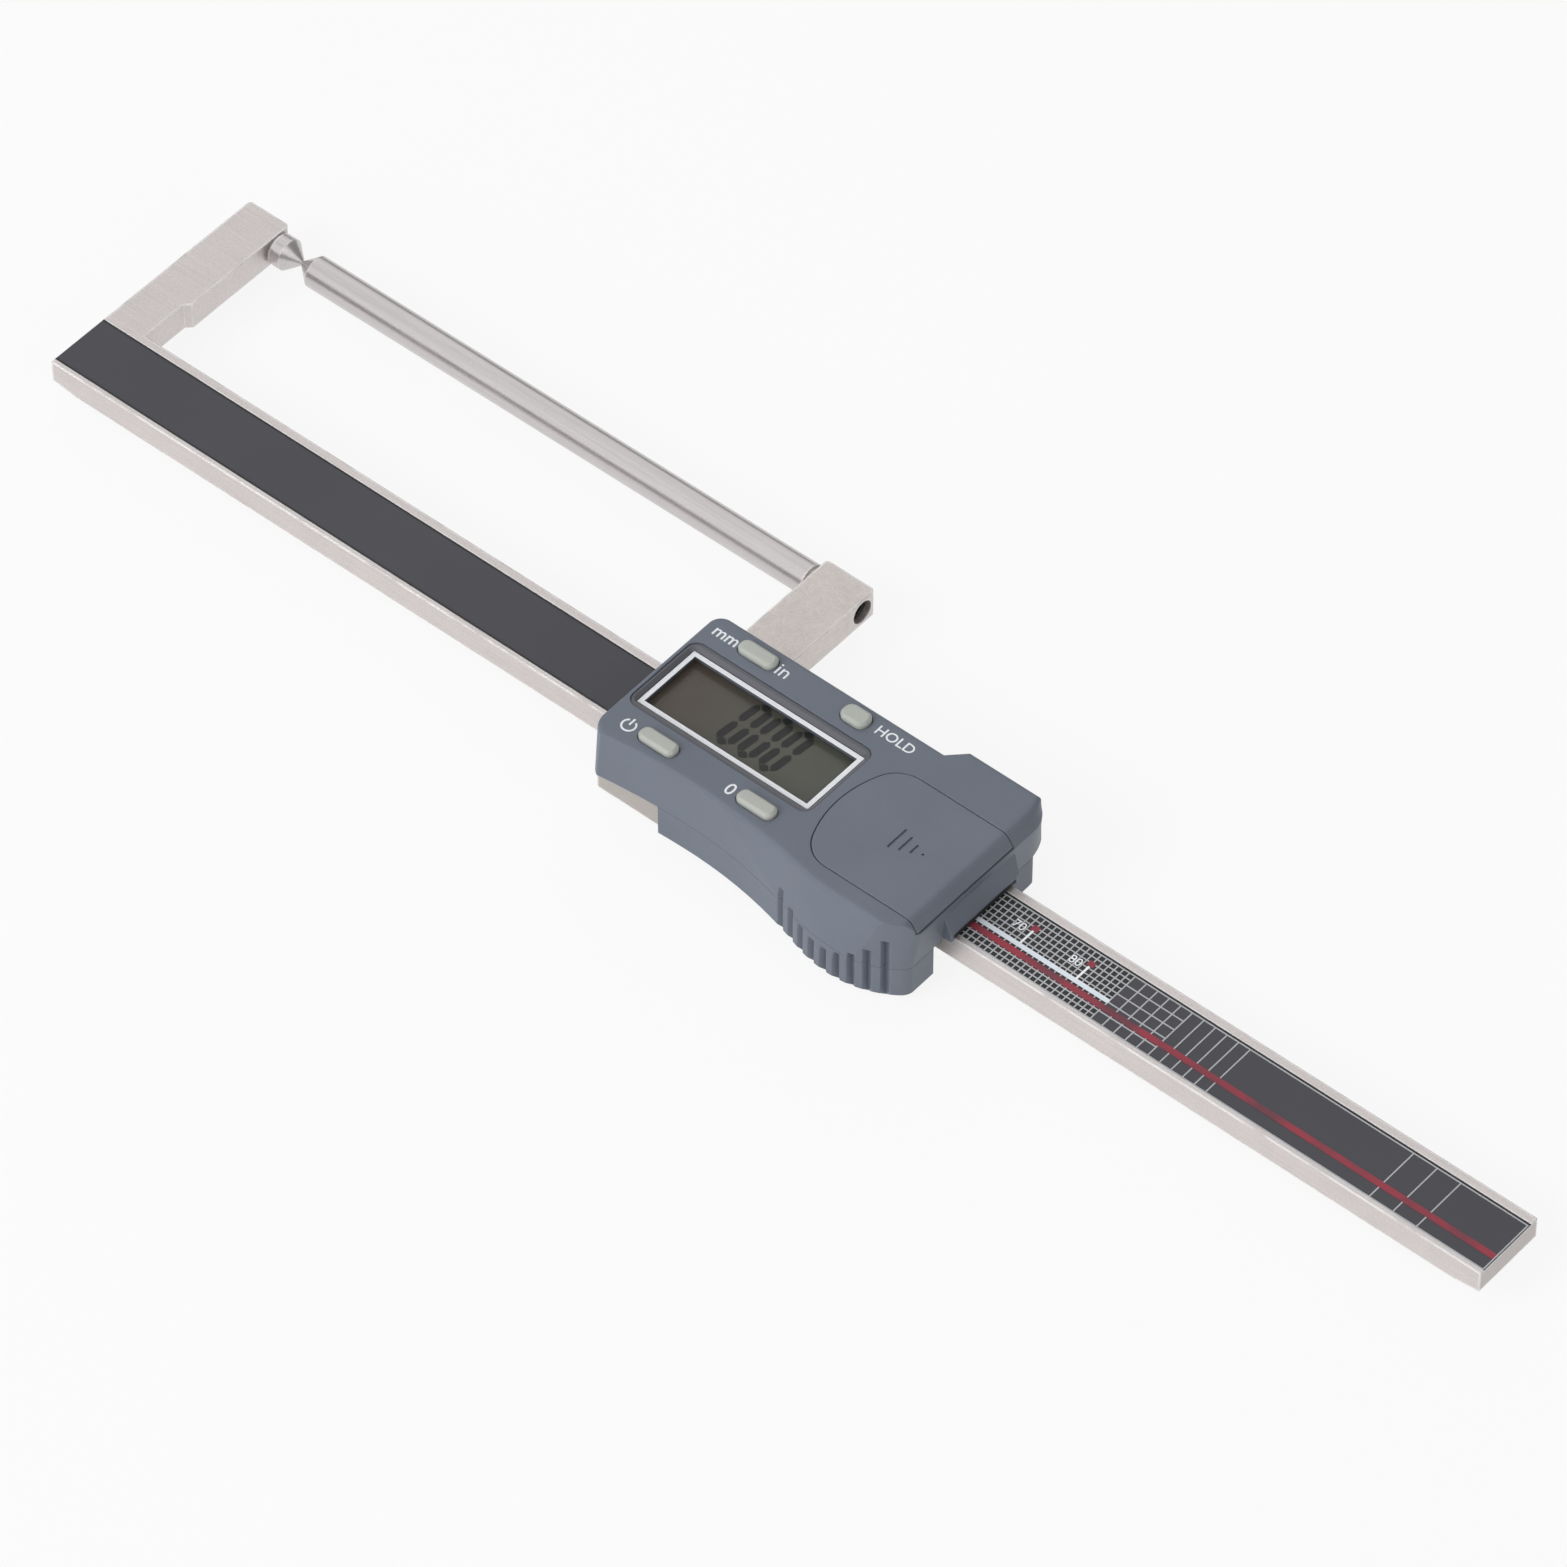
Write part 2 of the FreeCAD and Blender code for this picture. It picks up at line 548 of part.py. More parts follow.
def make_beam():
    body = new_body("beam")
    plan = sketch_on(body, "XY_Plane", "beam_plan", beam_underside)
    outline(
        plan,
        (beam_left, -half_beam), (beam_right, -half_beam), (beam_right, half_beam),
        (beam_left, half_beam))
    bar = pad(body, plan, beam_thickness, "beam_bar")
    jaw_plan = sketch_on(body, "XY_Plane", "fixed_jaw_plan", jaw_bottom)
    root_x = beam_left + jaw_root_width
    step = jaw_tip_width - jaw_root_width
    outline(
        jaw_plan,
        (beam_left, half_beam - overrun), (root_x, half_beam - overrun), (root_x, jaw_step_reach),
        (fixed_face, jaw_step_reach + step), (fixed_face, jaw_reach), (beam_left, jaw_reach))
    arm = pad(body, jaw_plan, jaw_thickness, "fixed_jaw")
    doc.recompute()
    tip_edges = edges_where(arm, lambda at: near(at.y, jaw_reach) and not near(at.z, beam_top))
    eased = dress(body, "Chamfer", "fixed_jaw_ends", arm, tip_edges, jaw_edge_break)
    taper = sketch_on(body, "XZ_Plane", "end_tapers")
    for end, inward in ((beam_left, 1), (beam_right, -1)):
        outline(
            taper,
            (end, beam_underside), (end + inward * end_taper_length, beam_underside),
            (end, beam_underside + end_taper_drop))
    ends = body.newObject("PartDesign::Pocket", "end_taper_cuts")
    ends.Profile = taper
    ends.Midplane = True
    bind(ends, "Length", beam_width + overrun)
    groove = sketch_on(body, "XY_Plane", "scale_groove_plan", beam_top)
    strip = (label_offset - label_width / 2, label_offset + label_width / 2)
    outline(
        groove,
        (beam_left - overrun, strip[0]), (beam_right + overrun, strip[0]),
        (beam_right + overrun, strip[1]), (beam_left - overrun, strip[1]))
    pocket(body, groove, label_thickness, "print_recess")
    deep = sketch_on(body, "XY_Plane", "electrode_groove_plan", beam_top - label_thickness)
    ends_x = (beam_left + electrode_inset, beam_right - electrode_inset)
    lane = (label_offset - scale_width / 2, label_offset + scale_width / 2)
    outline(
        deep,
        (ends_x[0], lane[0]), (ends_x[1], lane[0]), (ends_x[1], lane[1]), (ends_x[0], lane[1]))
    pocket(body, deep, scale_thickness, "electrode_groove")
    bore = sketch_on(body, "YZ_Plane", "anvil_bore_plan", fixed_face - spigot_length)
    circle(bore, tip_axis_reach, tip_height, spigot_diameter / 2 + seat_clearance)
    pocket(body, bore, spigot_length + overrun, "anvil_bore", back=True)
    screws = sketch_on(body, "XY_Plane", "stop_screw_plan", beam_underside)
    for side in (-1, 1):
        circle(screws, stop_middle, side * stop_width / 4, stop_screw_radius)
    last = pocket(body, screws, stop_screw_depth, "stop_screw_holes", back=True)
    doc.recompute()
    long_edges = edges_where(
        last, lambda at: near(at.z, beam_underside) and near(abs(at.y), half_beam)
        and at.x > (beam_left + jaw_tip_width).value)
    dress(body, "Chamfer", "beam_back_edges", last, long_edges, back_chamfer)
    return label(body, "beam")


def circle(sketch, x, y, radius):
    """A bound circle in a sketch."""
    x, y, radius = as_size(x), as_size(y), as_size(radius)
    index = sketch.addGeometry(
        Part.Circle(Vector(x.value, y.value, 0), Vector(0, 0, 1), radius.value), False)
    for kind, length in (("DistanceX", x), ("DistanceY", y)):
        number = sketch.addConstraint(Sketcher.Constraint(kind, -1, 1, index, 3, length.value))
        sketch.setExpression(f"Constraints[{number}]", length.text)
    number = sketch.addConstraint(Sketcher.Constraint("Radius", index, radius.value))
    sketch.setExpression(f"Constraints[{number}]", radius.text)


def make_scale():
    """Electrode strip and the printed strip over it, both let into the beam."""
    strip_top = beam_top - label_thickness
    electrodes = box(
        "electrodes", (beam_left + electrode_inset, beam_right - electrode_inset),
        (label_offset - scale_width / 2, label_offset + scale_width / 2),
        (strip_top - scale_thickness, strip_top))
    label(electrodes, "scale_circuit")
    print_strip = box(
        "print_strip", (beam_left, beam_right),
        (label_offset - label_width / 2, label_offset + label_width / 2), (strip_top, beam_top))
    label(print_strip, "scale_label")


def tip_profile(sketch, length, spigot, flip):
    """Half section of a tip in its own frame: jaw face at x = 0, point at x = length."""
    half = tip_diameter / 2
    outline(
        sketch,
        (-spigot * flip, 0), (length * flip, 0), (length * flip, tip_flat / 2),
        ((length - tip_cone_length) * flip, half), (neck_length * flip, half),
        (neck_length * flip, neck_diameter / 2), (0, neck_diameter / 2),
        (0, spigot_diameter / 2), (-spigot * flip, spigot_diameter / 2))


def make_anvil():
    body = new_body("fixed_anvil")
    profile = sketch_on(body, "XY_Plane", "anvil_section")
    tip_profile(profile, anvil_length, spigot_length, 1)
    turned(body, profile, "anvil_turned")
    put(body, fixed_face, tip_axis_reach, tip_height)
    return label(body, "fixed_anvil")


def make_measuring_rod():
    body = new_body("measuring_rod")
    profile = sketch_on(body, "XY_Plane", "rod_section")
    tip_profile(profile, slider_left - contact_x - tip_gap, spigot_length, -1)
    turned(body, profile, "rod_turned")
    put(body, slider_left, tip_axis_reach, tip_height)
    return label(body, "measuring_rod")


def make_rod_screw():
    """Socket screw in the moving jaw's right face that draws the rod against the jaw."""
    head = rod("rod_screw_head", head_bore / 2 - fit, head_depth - head_sunk,
               moving_jaw_right - head_depth, tip_axis_reach, tip_height, ALONG_X)
    hexagon = doc.addObject("Part::Prism", "rod_screw_socket")
    hexagon.Polygon = 6
    bind(hexagon, "Circumradius", socket_radius)
    bind(hexagon, "Height", socket_depth + overrun)
    put(hexagon, moving_jaw_right - head_sunk - socket_depth, tip_axis_reach, tip_height, ALONG_X)
    return label(without("rod_screw_solid", head, hexagon), "rod_screw")


def make_slider_frame():
    """Steel frame: a channel round the beam's back and edges, with the moving jaw."""
    body = new_body("slider_frame")
    plan = sketch_on(body, "XY_Plane", "frame_plan", back_plate)
    outline(
        plan,
        (slider_left, -frame_near_bare), (bare_right, -frame_near_bare),
        (bare_right, -frame_near), (frame_right, -frame_near), (frame_right, frame_far),
        (slider_left, frame_far))
    block = pad(body, plan, frame_top - back_plate, "frame_block")
    foot = sketch_on(body, "XY_Plane", "bare_foot_plan")
    outline(
        foot,
        (foot_left, -frame_near_bare), (bare_right - fit, -frame_near_bare),
        (bare_right - fit, frame_far), (foot_left, frame_far))
    base = pad(body, foot, cover_bottom - fit, "bare_foot")
    doc.recompute()
    right_end = (bare_right - fit - seat_clearance).value
    far_side = (frame_far - seat_clearance).value
    rim = edges_where(base, lambda at: near(at.z, 0) and at.x < right_end and at.y < far_side)
    dress(body, "Chamfer", "foot_rim", base, rim, foot_bevel)
    jaw = sketch_on(body, "XY_Plane", "moving_jaw_plan", jaw_bottom)
    outline(
        jaw,
        (slider_left, frame_far - overrun), (moving_jaw_right, frame_far - overrun),
        (moving_jaw_right, jaw_reach), (slider_left, jaw_reach))
    arm = pad(body, jaw, jaw_thickness, "moving_jaw")
    doc.recompute()
    tip_edges = edges_where(arm, lambda at: near(at.y, jaw_reach) and not near(at.z, beam_top))
    dress(body, "Chamfer", "moving_jaw_ends", arm, tip_edges, jaw_edge_break)
    channel = sketch_on(body, "YZ_Plane", "channel_section", slider_left - overrun)
    outline(
        channel,
        (-channel_near, beam_underside - running), (half_beam + running, beam_underside - running),
        (half_beam + running, frame_top + overrun), (-channel_near, frame_top + overrun))
    pocket(body, channel, frame_right - slider_left + overrun * 2, "channel", back=True)
    bore = sketch_on(body, "YZ_Plane", "rod_bore_plan", slider_left - overrun)
    circle(bore, tip_axis_reach, tip_height, spigot_diameter / 2 + seat_clearance)
    pocket(body, bore, moving_jaw_width + overrun * 2, "rod_bore", back=True)
    sunk = sketch_on(body, "YZ_Plane", "screw_bore_plan", moving_jaw_right - head_depth)
    circle(sunk, tip_axis_reach, tip_height, head_bore / 2)
    pocket(body, sunk, head_depth + overrun, "screw_bore", back=True)
    holes = sketch_on(body, "XY_Plane", "frame_screw_plan")
    for side in (-1, 1):
        circle(holes, screw_left, side * screw_left_spread, screw_radius + fit)
    pocket(body, holes, frame_top + overrun, "frame_screw_holes", back=True)
    sinks = sketch_on(body, "XY_Plane", "frame_sink_plan")
    for side in (-1, 1):
        circle(sinks, screw_left, side * screw_left_spread, screw_head_radius + fit)
    pocket(body, sinks, screw_head_height + fit, "frame_screw_sinks", back=True)
    taps = sketch_on(body, "XY_Plane", "guide_screw_plan", frame_top)
    for x, y in guide_screw_places():
        circle(taps, x, y, guide_screw_radius)
    pocket(body, taps, guide_screw_depth, "guide_screw_holes")
    return label(body, "slider_frame")


def guide_screw_places():
    """The four screws of the guide plate, over the frame's walls."""
    inset = plate_half_width - guide_screw_edge
    ends = (plate_left + guide_screw_end, plate_right - guide_screw_end)
    return [(x, side * inset) for side in (-1, 1) for x in ends]


def make_gib():
    """Brass strip that takes up play on the beam's near edge, and the bowed spring behind it."""
    start = (slider_left + frame_right) / 2 - gib_length / 2
    face = half_beam + running
    low = beam_underside + (beam_thickness - gib_height) / 2
    strip = box("gib", (start, start + gib_length), (-(face + gib_thickness), -face),
                (low, low + gib_height))
    label(strip, "gib_strip")
    body = new_body("gib_spring")
    bow = sketch_on(body, "XY_Plane", "spring_bow", low + gib_height / 4)
    middle = (slider_left + frame_right) / 2
    left = middle - spring_length / 2
    right = middle + spring_length / 2
    wall = -(channel_near - fit / 2)
    crest = spring_room - fit - spring_thickness
    half = spring_length / 2
    outer = (half * half + crest * crest) / (crest * 2)
    outline(
        bow,
        (right, wall + spring_thickness),
        (left, wall + spring_thickness, outer, 1), (left, wall), (right, wall, outer, -1))
    pad(body, bow, gib_height / 2, "spring_strip")
    return label(body, "gib_spring")


def make_guide_plate():
    """Steel plate over the beam, open in the middle for the pickup board."""
    plate = box("plate_blank", (plate_left, plate_right), (-plate_half_width, plate_half_width),
                (frame_top, plate_top))
    opening = box("plate_opening", (window_left, window_left + window_length),
                  (-window_width / 2, window_width / 2), (frame_top - overrun, plate_top + overrun))
    holes = [rod(f"plate_hole_{number}", guide_screw_radius + fit, plate_thickness + overrun * 2, x, y,
                 frame_top - overrun) for number, (x, y) in enumerate(guide_screw_places(), 1)]
    label(without("plate_solid", plate, opening, *holes), "guide_plate")
    screws = []
    for number, (x, y) in enumerate(guide_screw_places(), 1):
        shank = rod(f"guide_shank_{number}", guide_screw_radius - seat_clearance,
                    guide_screw_depth + plate_thickness - fit, x, y,
                    plate_top - plate_thickness - guide_screw_depth + fit)
        screws.append(shank)
    return label(group("guide_screw_set", *screws), "guide_screws")


def make_boards():
    """Pickup board in the plate's opening, main board over the plate, and its chip."""
    pickup = box(
        "pickup", (window_left + fit, window_left + window_length - fit),
        (-window_width / 2 + fit, window_width / 2 - fit), (beam_top + pickup_gap, plate_top))
    label(pickup, "pickup_board")
    body = new_body("circuit_board")
    plan = sketch_on(body, "XY_Plane", "board_plan", plate_top)
    outline(
        plan,
        (board_left, -tongue_half_width), (board_shoulder, -tongue_half_width),
        (board_shoulder, -board_half_width), (board_right, -board_half_width),
        (board_right, board_half_width), (board_shoulder, board_half_width),
        (board_shoulder, tongue_half_width), (board_left, tongue_half_width))
    pad(body, plan, board_thickness, "board_blank")
    label(body, "circuit_board")
    chip = box(
        "chip", (display_middle - chip_side / 2, display_middle + chip_side / 2),
        (-chip_side / 2, chip_side / 2), (board_top, board_top + chip_height))
    label(chip, "measuring_chip")


def make_display():
    """Liquid-crystal glass on its rubber connectors, the clear window and the black bezel."""
    glass = box(
        "glass", (display_middle - glass_length / 2, display_middle + glass_length / 2),
        (-glass_width / 2, glass_width / 2), (glass_top - glass_thickness, glass_top))
    label(glass, "lcd_glass")
    strips = []
    offset = glass_width / 2 - connector_width
    for side, low in (("near", -offset - connector_width), ("far", offset)):
        strips.append(box(
            f"connector_{side}",
            (display_middle - connector_length / 2, display_middle + connector_length / 2),
            (low, low + connector_width), (board_top, glass_top - glass_thickness)))
    label(group("connector_pair", *strips), "lcd_connectors")
    body = new_body("display_window")
    plan = sketch_on(body, "XY_Plane", "window_plan", ledge_top)
    round_box(plan, display_middle - display_length / 2, display_middle + display_length / 2,
              -display_width / 2, display_width / 2, window_corner)
    pad(body, plan, window_pane, "window_blank")
    label(body, "display_window")
    body = new_body("display_bezel")
    rim = sketch_on(body, "XY_Plane", "bezel_plan", ledge_top)
    round_box(rim, display_middle - bezel_length / 2, display_middle + bezel_length / 2,
              -bezel_width / 2, bezel_width / 2, bezel_corner)
    pad(body, rim, bezel_height, "bezel_blank")
    hole = sketch_on(body, "XY_Plane", "bezel_hole_plan", ledge_top - overrun)
    half_length = display_length / 2 + fit
    half_width = display_width / 2 + fit
    round_box(hole, display_middle - half_length, display_middle + half_length,
              -half_width, half_width, window_corner + fit)
    cut = pocket(body, hole, bezel_height + overrun * 2, "bezel_hole", back=True)
    doc.recompute()
    bezel_top = ledge_top + bezel_height
    reach_x = (half_length + seat_clearance).value
    reach_y = (half_width + seat_clearance).value
    inner = edges_where(cut, lambda at: near(at.z, bezel_top)
                        and abs(at.x - display_middle.value) < reach_x and abs(at.y) < reach_y)
    dress(body, "Chamfer", "bezel_slope_cut", cut, inner, bezel_slope_width)
    return label(body, "display_bezel")


# Top cover, a lofted moulding

def near_side(start, corner, waist, crest):
    """Near wall seen from above: hollow in to the finger waist, then a swell out to the crest."""
    back = waist_x - start
    dip = corner - waist
    hollow = (back * back + dip * dip) / (dip * 2)
    run = crest_x - waist_x
    step = crest - waist
    swell = (run * run + step * step) / (step * 2)
    turn_x = waist_x + run * swell_share
    turn_y = waist + step * swell_share
    return [
        (start, -corner), (waist_x, -waist, hollow, -1), (turn_x, -turn_y, swell * swell_share, -1),
        (crest_x, -crest, swell * (1 - swell_share), 1)]


def right_end(height):
    """The right end at one height: upright to the parting line, then out, then a slope in."""
    under = (cover_bend.value - height.value) / (cover_bend.value - cover_bottom.value)
    slope = (height.value - cover_bend.value) / (cover_top.value - cover_bend.value)
    drawn_in = right_under_width * min(max(under, 0.0), 1.0) + right_slope_width * max(slope, 0.0)
    return cover_right - drawn_in


def lean_section(body, name, height, inset=0):
    """Plan of the leaning sides at one height, drawn in by an inset; the same edges at every height."""
    share = (cover_top.value - height.value) / cover_top.value
    left = cover_left - left_lean_width * share + inset
    right = right_end(height) - inset
    near_corner = near_corner_top + near_corner_lean * share - inset
    waist = near_waist_top + near_waist_lean * share - inset
    crest = near_crest_top + near_crest_lean * share - inset
    far_y = far_top + far_lean_width * share - inset
    bulge_y = far_bulge_top + far_lean_width * share / 2 - inset
    small = corner_top - inset
    in_x = right - far_end_x + inset
    in_y = bulge_y - far_end_y
    turn_in = (in_x * in_x + in_y * in_y) / (in_x * 2)
    large = corner_near_left - inset
    first, *others = near_side(left + large, near_corner, waist, crest)
    sketch = sketch_on(body, "XY_Plane", name, height)
    return outline(
        sketch,
        first + (large, 1), *others,
        (right - small, -crest), (right, small - crest, small, 1),
        (right, far_end_y), (far_end_x - inset, bulge_y, turn_in, 1),
        (far_ramp_left + ramp_run, bulge_y), (far_ramp_left, far_y),
        (left + small, far_y), (left, far_y - small, small, 1), (left, large - near_corner))


def wall_section(body, name, height, right, inset):
    """Plan of the upright grip wall and its round right corner, well outside the other sides."""
    start = cover_left - overrun * 2
    back = far_bulge_top + overrun * 2
    outer = right + running - inset
    between = wall_end_arc - wall_end_corner
    along = outer - wall_end_corner - crest_x
    across = math.sqrt(between.value ** 2 - along.value ** 2)
    middle = wall_end_arc - wall_crest + inset
    reach = wall_end_arc / between
    sketch = sketch_on(body, "XY_Plane", name, height)
    return outline(
        sketch,
        *near_side(start, wall_corner - inset, wall_waist - inset, wall_crest - inset),
        (crest_x + along * reach, middle - reach * across, wall_end_arc, 1),
        (outer, middle - across, wall_end_corner, 1), (outer, back), (start, back))


def make_outside(name):
    """The whole outside of cover and grip as a solid: leaning sides, shared with the upright wall.

    The crease over the grip is where the two meet. The top edge is rounded by the last sections.
    """
    leaning = new_body(f"{name}_leaning")
    sections = [lean_section(leaning, f"{name}_base", as_size(0), base_bevel),
                lean_section(leaning, f"{name}_bevel", base_bevel),
                lean_section(leaning, f"{name}_parting", cover_bottom),
                lean_section(leaning, f"{name}_bend", cover_bend)]
    for step in range(EDGE_STEPS + 1):
        angle = math.pi / 2 * step / EDGE_STEPS
        height = cover_top - edge_round * (1 - math.sin(angle))
        inset = edge_round * (1 - math.cos(angle))
        sections.append(lean_section(leaning, f"{name}_edge_{step}", height, inset))
    loft(leaning, sections, f"{name}_lean_loft")
    upright = new_body(f"{name}_upright")
    foot, head = right_end(cover_bottom), right_end(cover_bend)
    walls = [wall_section(upright, f"{name}_wall_base", as_size(0), foot, base_bevel),
             wall_section(upright, f"{name}_wall_low", base_bevel, foot, as_size(0)),
             wall_section(upright, f"{name}_wall_parting", cover_bottom, foot, as_size(0)),
             wall_section(upright, f"{name}_wall_bend", cover_bend, head, as_size(0)),
             wall_section(upright, f"{name}_wall_high", cover_top + overrun, head, as_size(0))]
    loft(upright, walls, f"{name}_wall_loft")
    return shared(name, leaning, upright)


def lid_block(name, gap):
    """Upright block with the battery cover's plan, out past the cover's right end."""
    body = new_body(name)
    low = lid_bottom - gap
    plan = sketch_on(body, "XY_Plane", f"{name}_plan", low)
    half = lid_half_width + gap
    radius = lid_round + gap
    corner = lid_corner + gap
    between = (lid_round - lid_corner).value
    across = (lid_half_width - lid_corner).value
    along = math.sqrt(between ** 2 - across ** 2)
    middle = lid_left + lid_round
    meet_x = middle - radius * (along / between)
    meet_y = radius * (across / between)
    straight = middle - along
    outline(
        plan,
        (hood_face, cell_y - half), (hood_face, cell_y + half), (straight, cell_y + half),
        (meet_x, cell_y + meet_y, corner, 1), (meet_x, cell_y - meet_y, radius, 1),
        (straight, cell_y - half, corner, 1))
    pad(body, plan, cover_top + overrun - low, f"{name}_pad")
    return body


def lid_region(name, gap, low):
    """Everything the battery cover takes up: its plate and its sloping end, down to a bound height."""
    half = lid_half_width + gap
    inner = cavity_right + lid_gap - gap
    slope = box(f"{name}_slope", (inner, hood_face), (cell_y - half, cell_y + half),
                (low, cover_top + overrun))
    return joined(name, lid_block(f"{name}_plate", gap), slope)


def make_hood():
    """Hood over the slot: sloping top, flared far side, opening for the beam."""
    body = new_body("hood_side_view")
    profile = sketch_on(body, "XZ_Plane", "hood_profile", -(hood_side + hood_flare))
    outline(
        profile,
        (cavity_right, hood_bottom), (hood_face, hood_bottom), (hood_face, slot_top + hood_wall / 2),
        (cover_right - hood_set, hood_top), (cavity_right, hood_top))
    pad(body, profile, hood_side * 2 + hood_flare, "hood_length")
    front = new_body("hood_front_view")
    face = sketch_on(front, "YZ_Plane", "hood_face_plan", cavity_right - overrun)
    outline(
        face,
        (-hood_side, hood_bottom), (-slot_half_width, hood_bottom), (-slot_half_width, slot_top),
        (slot_half_width, slot_top), (slot_half_width, hood_bottom), (hood_side, hood_bottom),
        (hood_side, slot_top), (hood_side + hood_flare, hood_top), (-hood_side, hood_top))
    pad(front, face, hood_reach + end_wall + overrun * 2, "hood_depth")
    return shared("hood", body, front)


def make_cavity():
    """Room inside the cover, less the ledge that carries the window."""
    body = new_body("cavity")
    plan = sketch_on(body, "XY_Plane", "cavity_plan", cover_bottom - overrun)
    near_room = near_crest_top - cavity_bulge
    far_room = far_bulge_top - cavity_bulge
    half = cavity_half_width
    outline(
        plan,
        (cover_left + cover_wall, -half), (cavity_turn - cavity_bulge, -half),
        (cavity_turn + cavity_bulge, -near_room), (cavity_right - cavity_bulge, -near_room),
        (cavity_right, -half), (cavity_right, half), (cavity_right - cavity_bulge, far_room),
        (far_ramp_left + ramp_run * 2, far_room), (far_ramp_left + ramp_run, half),
        (cover_left + cover_wall, half))
    pad(body, plan, ceiling - cover_bottom + overrun, "cavity_room")
    half_length = bezel_length / 2 + display_rim
    half_width = bezel_width / 2 + display_rim
    ledge = box("ledge_block", (display_middle - half_length, display_middle + half_length),
                (-half_width, half_width), (ledge_bottom, cover_top))
    return without("cavity_space", body, ledge)


def display_cuts():
    """Recess for the bezel, and the opening that the display is read through."""
    body = new_body("bezel_recess")
    plan = sketch_on(body, "XY_Plane", "bezel_recess_plan", ledge_top)
    half_length = bezel_length / 2 + fit / 2
    half_width = bezel_width / 2 + fit / 2
    round_box(plan, display_middle - half_length, display_middle + half_length,
              -half_width, half_width, bezel_corner)
    pad(body, plan, cover_top - ledge_top + overrun, "bezel_recess_room")
    half_length = display_length / 2 - display_lip
    half_width = display_width / 2 - display_lip
    opening = box("display_opening", (display_middle - half_length, display_middle + half_length),
                  (-half_width, half_width), (ledge_bottom - overrun, ledge_top + overrun))
    return [body, opening]


def button_list():
    """Name, middle and size of each button."""
    left, right = button_columns
    return [
        ("power_button", left, -button_spread, button_length, button_width),
        ("zero_button", right, -button_spread, button_length, button_width),
        ("unit_button", left, button_spread, button_length, button_width),
        ("hold_button", right, button_spread, hold_length, hold_width)]


def button_hole(name, x, y, length, width):
    body = new_body(f"{name}_hole")
    plan = sketch_on(body, "XY_Plane", f"{name}_hole_plan", ceiling - overrun)
    half_length = length / 2 + button_gap
    half_width = width / 2 + button_gap
    round_box(plan, x - half_length, x + half_length, y - half_width, y + half_width,
              width / 2 * button_pill + button_gap)
    pad(body, plan, cover_wall + overrun * 2, f"{name}_hole_room")
    return body


def make_button(name, x, y, length, width):
    """A moulded button: pill above the cover, collar under it, stem down to its dome."""
    body = new_body(name)
    radius = width / 2 * button_pill
    collar_top = ceiling - fit
    collar = sketch_on(body, "XY_Plane", f"{name}_collar_plan", collar_top - flange_height)
    round_box(collar, x - length / 2 - flange_reach, x + length / 2 + flange_reach,
              y - width / 2, y + width / 2, radius)
    pad(body, collar, flange_height, f"{name}_collar")
    stem = sketch_on(body, "XY_Plane", f"{name}_stem_plan", collar_top - flange_height)
    circle(stem, x, y, width / 4)
    stem_bottom = board_top + dome_height + button_travel + fit / 2
    pad(body, stem, collar_top - flange_height - stem_bottom, f"{name}_stem", back=True)
    cap = sketch_on(body, "XY_Plane", f"{name}_cap_plan", collar_top)
    round_box(cap, x - length / 2, x + length / 2, y - width / 2, y + width / 2, radius)
    face = cover_top + button_proud
    last = pad(body, cap, face - collar_top, f"{name}_cap")
    doc.recompute()
    rim = edges_where(last, lambda at: near(at.z, face))
    dress(body, "Chamfer", f"{name}_rim", last, rim, button_edge)
    return label(body, name)


def make_domes():
    """Snap domes under the buttons, on the circuit board."""
    domes = []
    for number, (name, x, y, length, width) in enumerate(button_list(), 1):
        domes.append(cone(f"dome_{number}", dome_radius, dome_radius / 2, dome_height, x, y, board_top))
    return label(group("dome_set", *domes), "snap_domes")


def cover_screw_list():
    """Name, middle, foot of the boss, end of the screw and top of the boss, for each cover screw."""
    in_frame = frame_top + screw_bite
    in_grip = cover_bottom + screw_bite
    return [
        ("left_near", screw_left, -screw_left_spread, frame_top, in_frame, ceiling),
        ("left_far", screw_left, screw_left_spread, frame_top, in_frame, ceiling),
        ("right_near", screw_near_x, screw_near_y, cover_bottom, in_grip, in_grip + wall_over_screw),
        ("right_far", screw_far_x, screw_far_y, cover_bottom, in_grip, in_grip + wall_over_screw)]


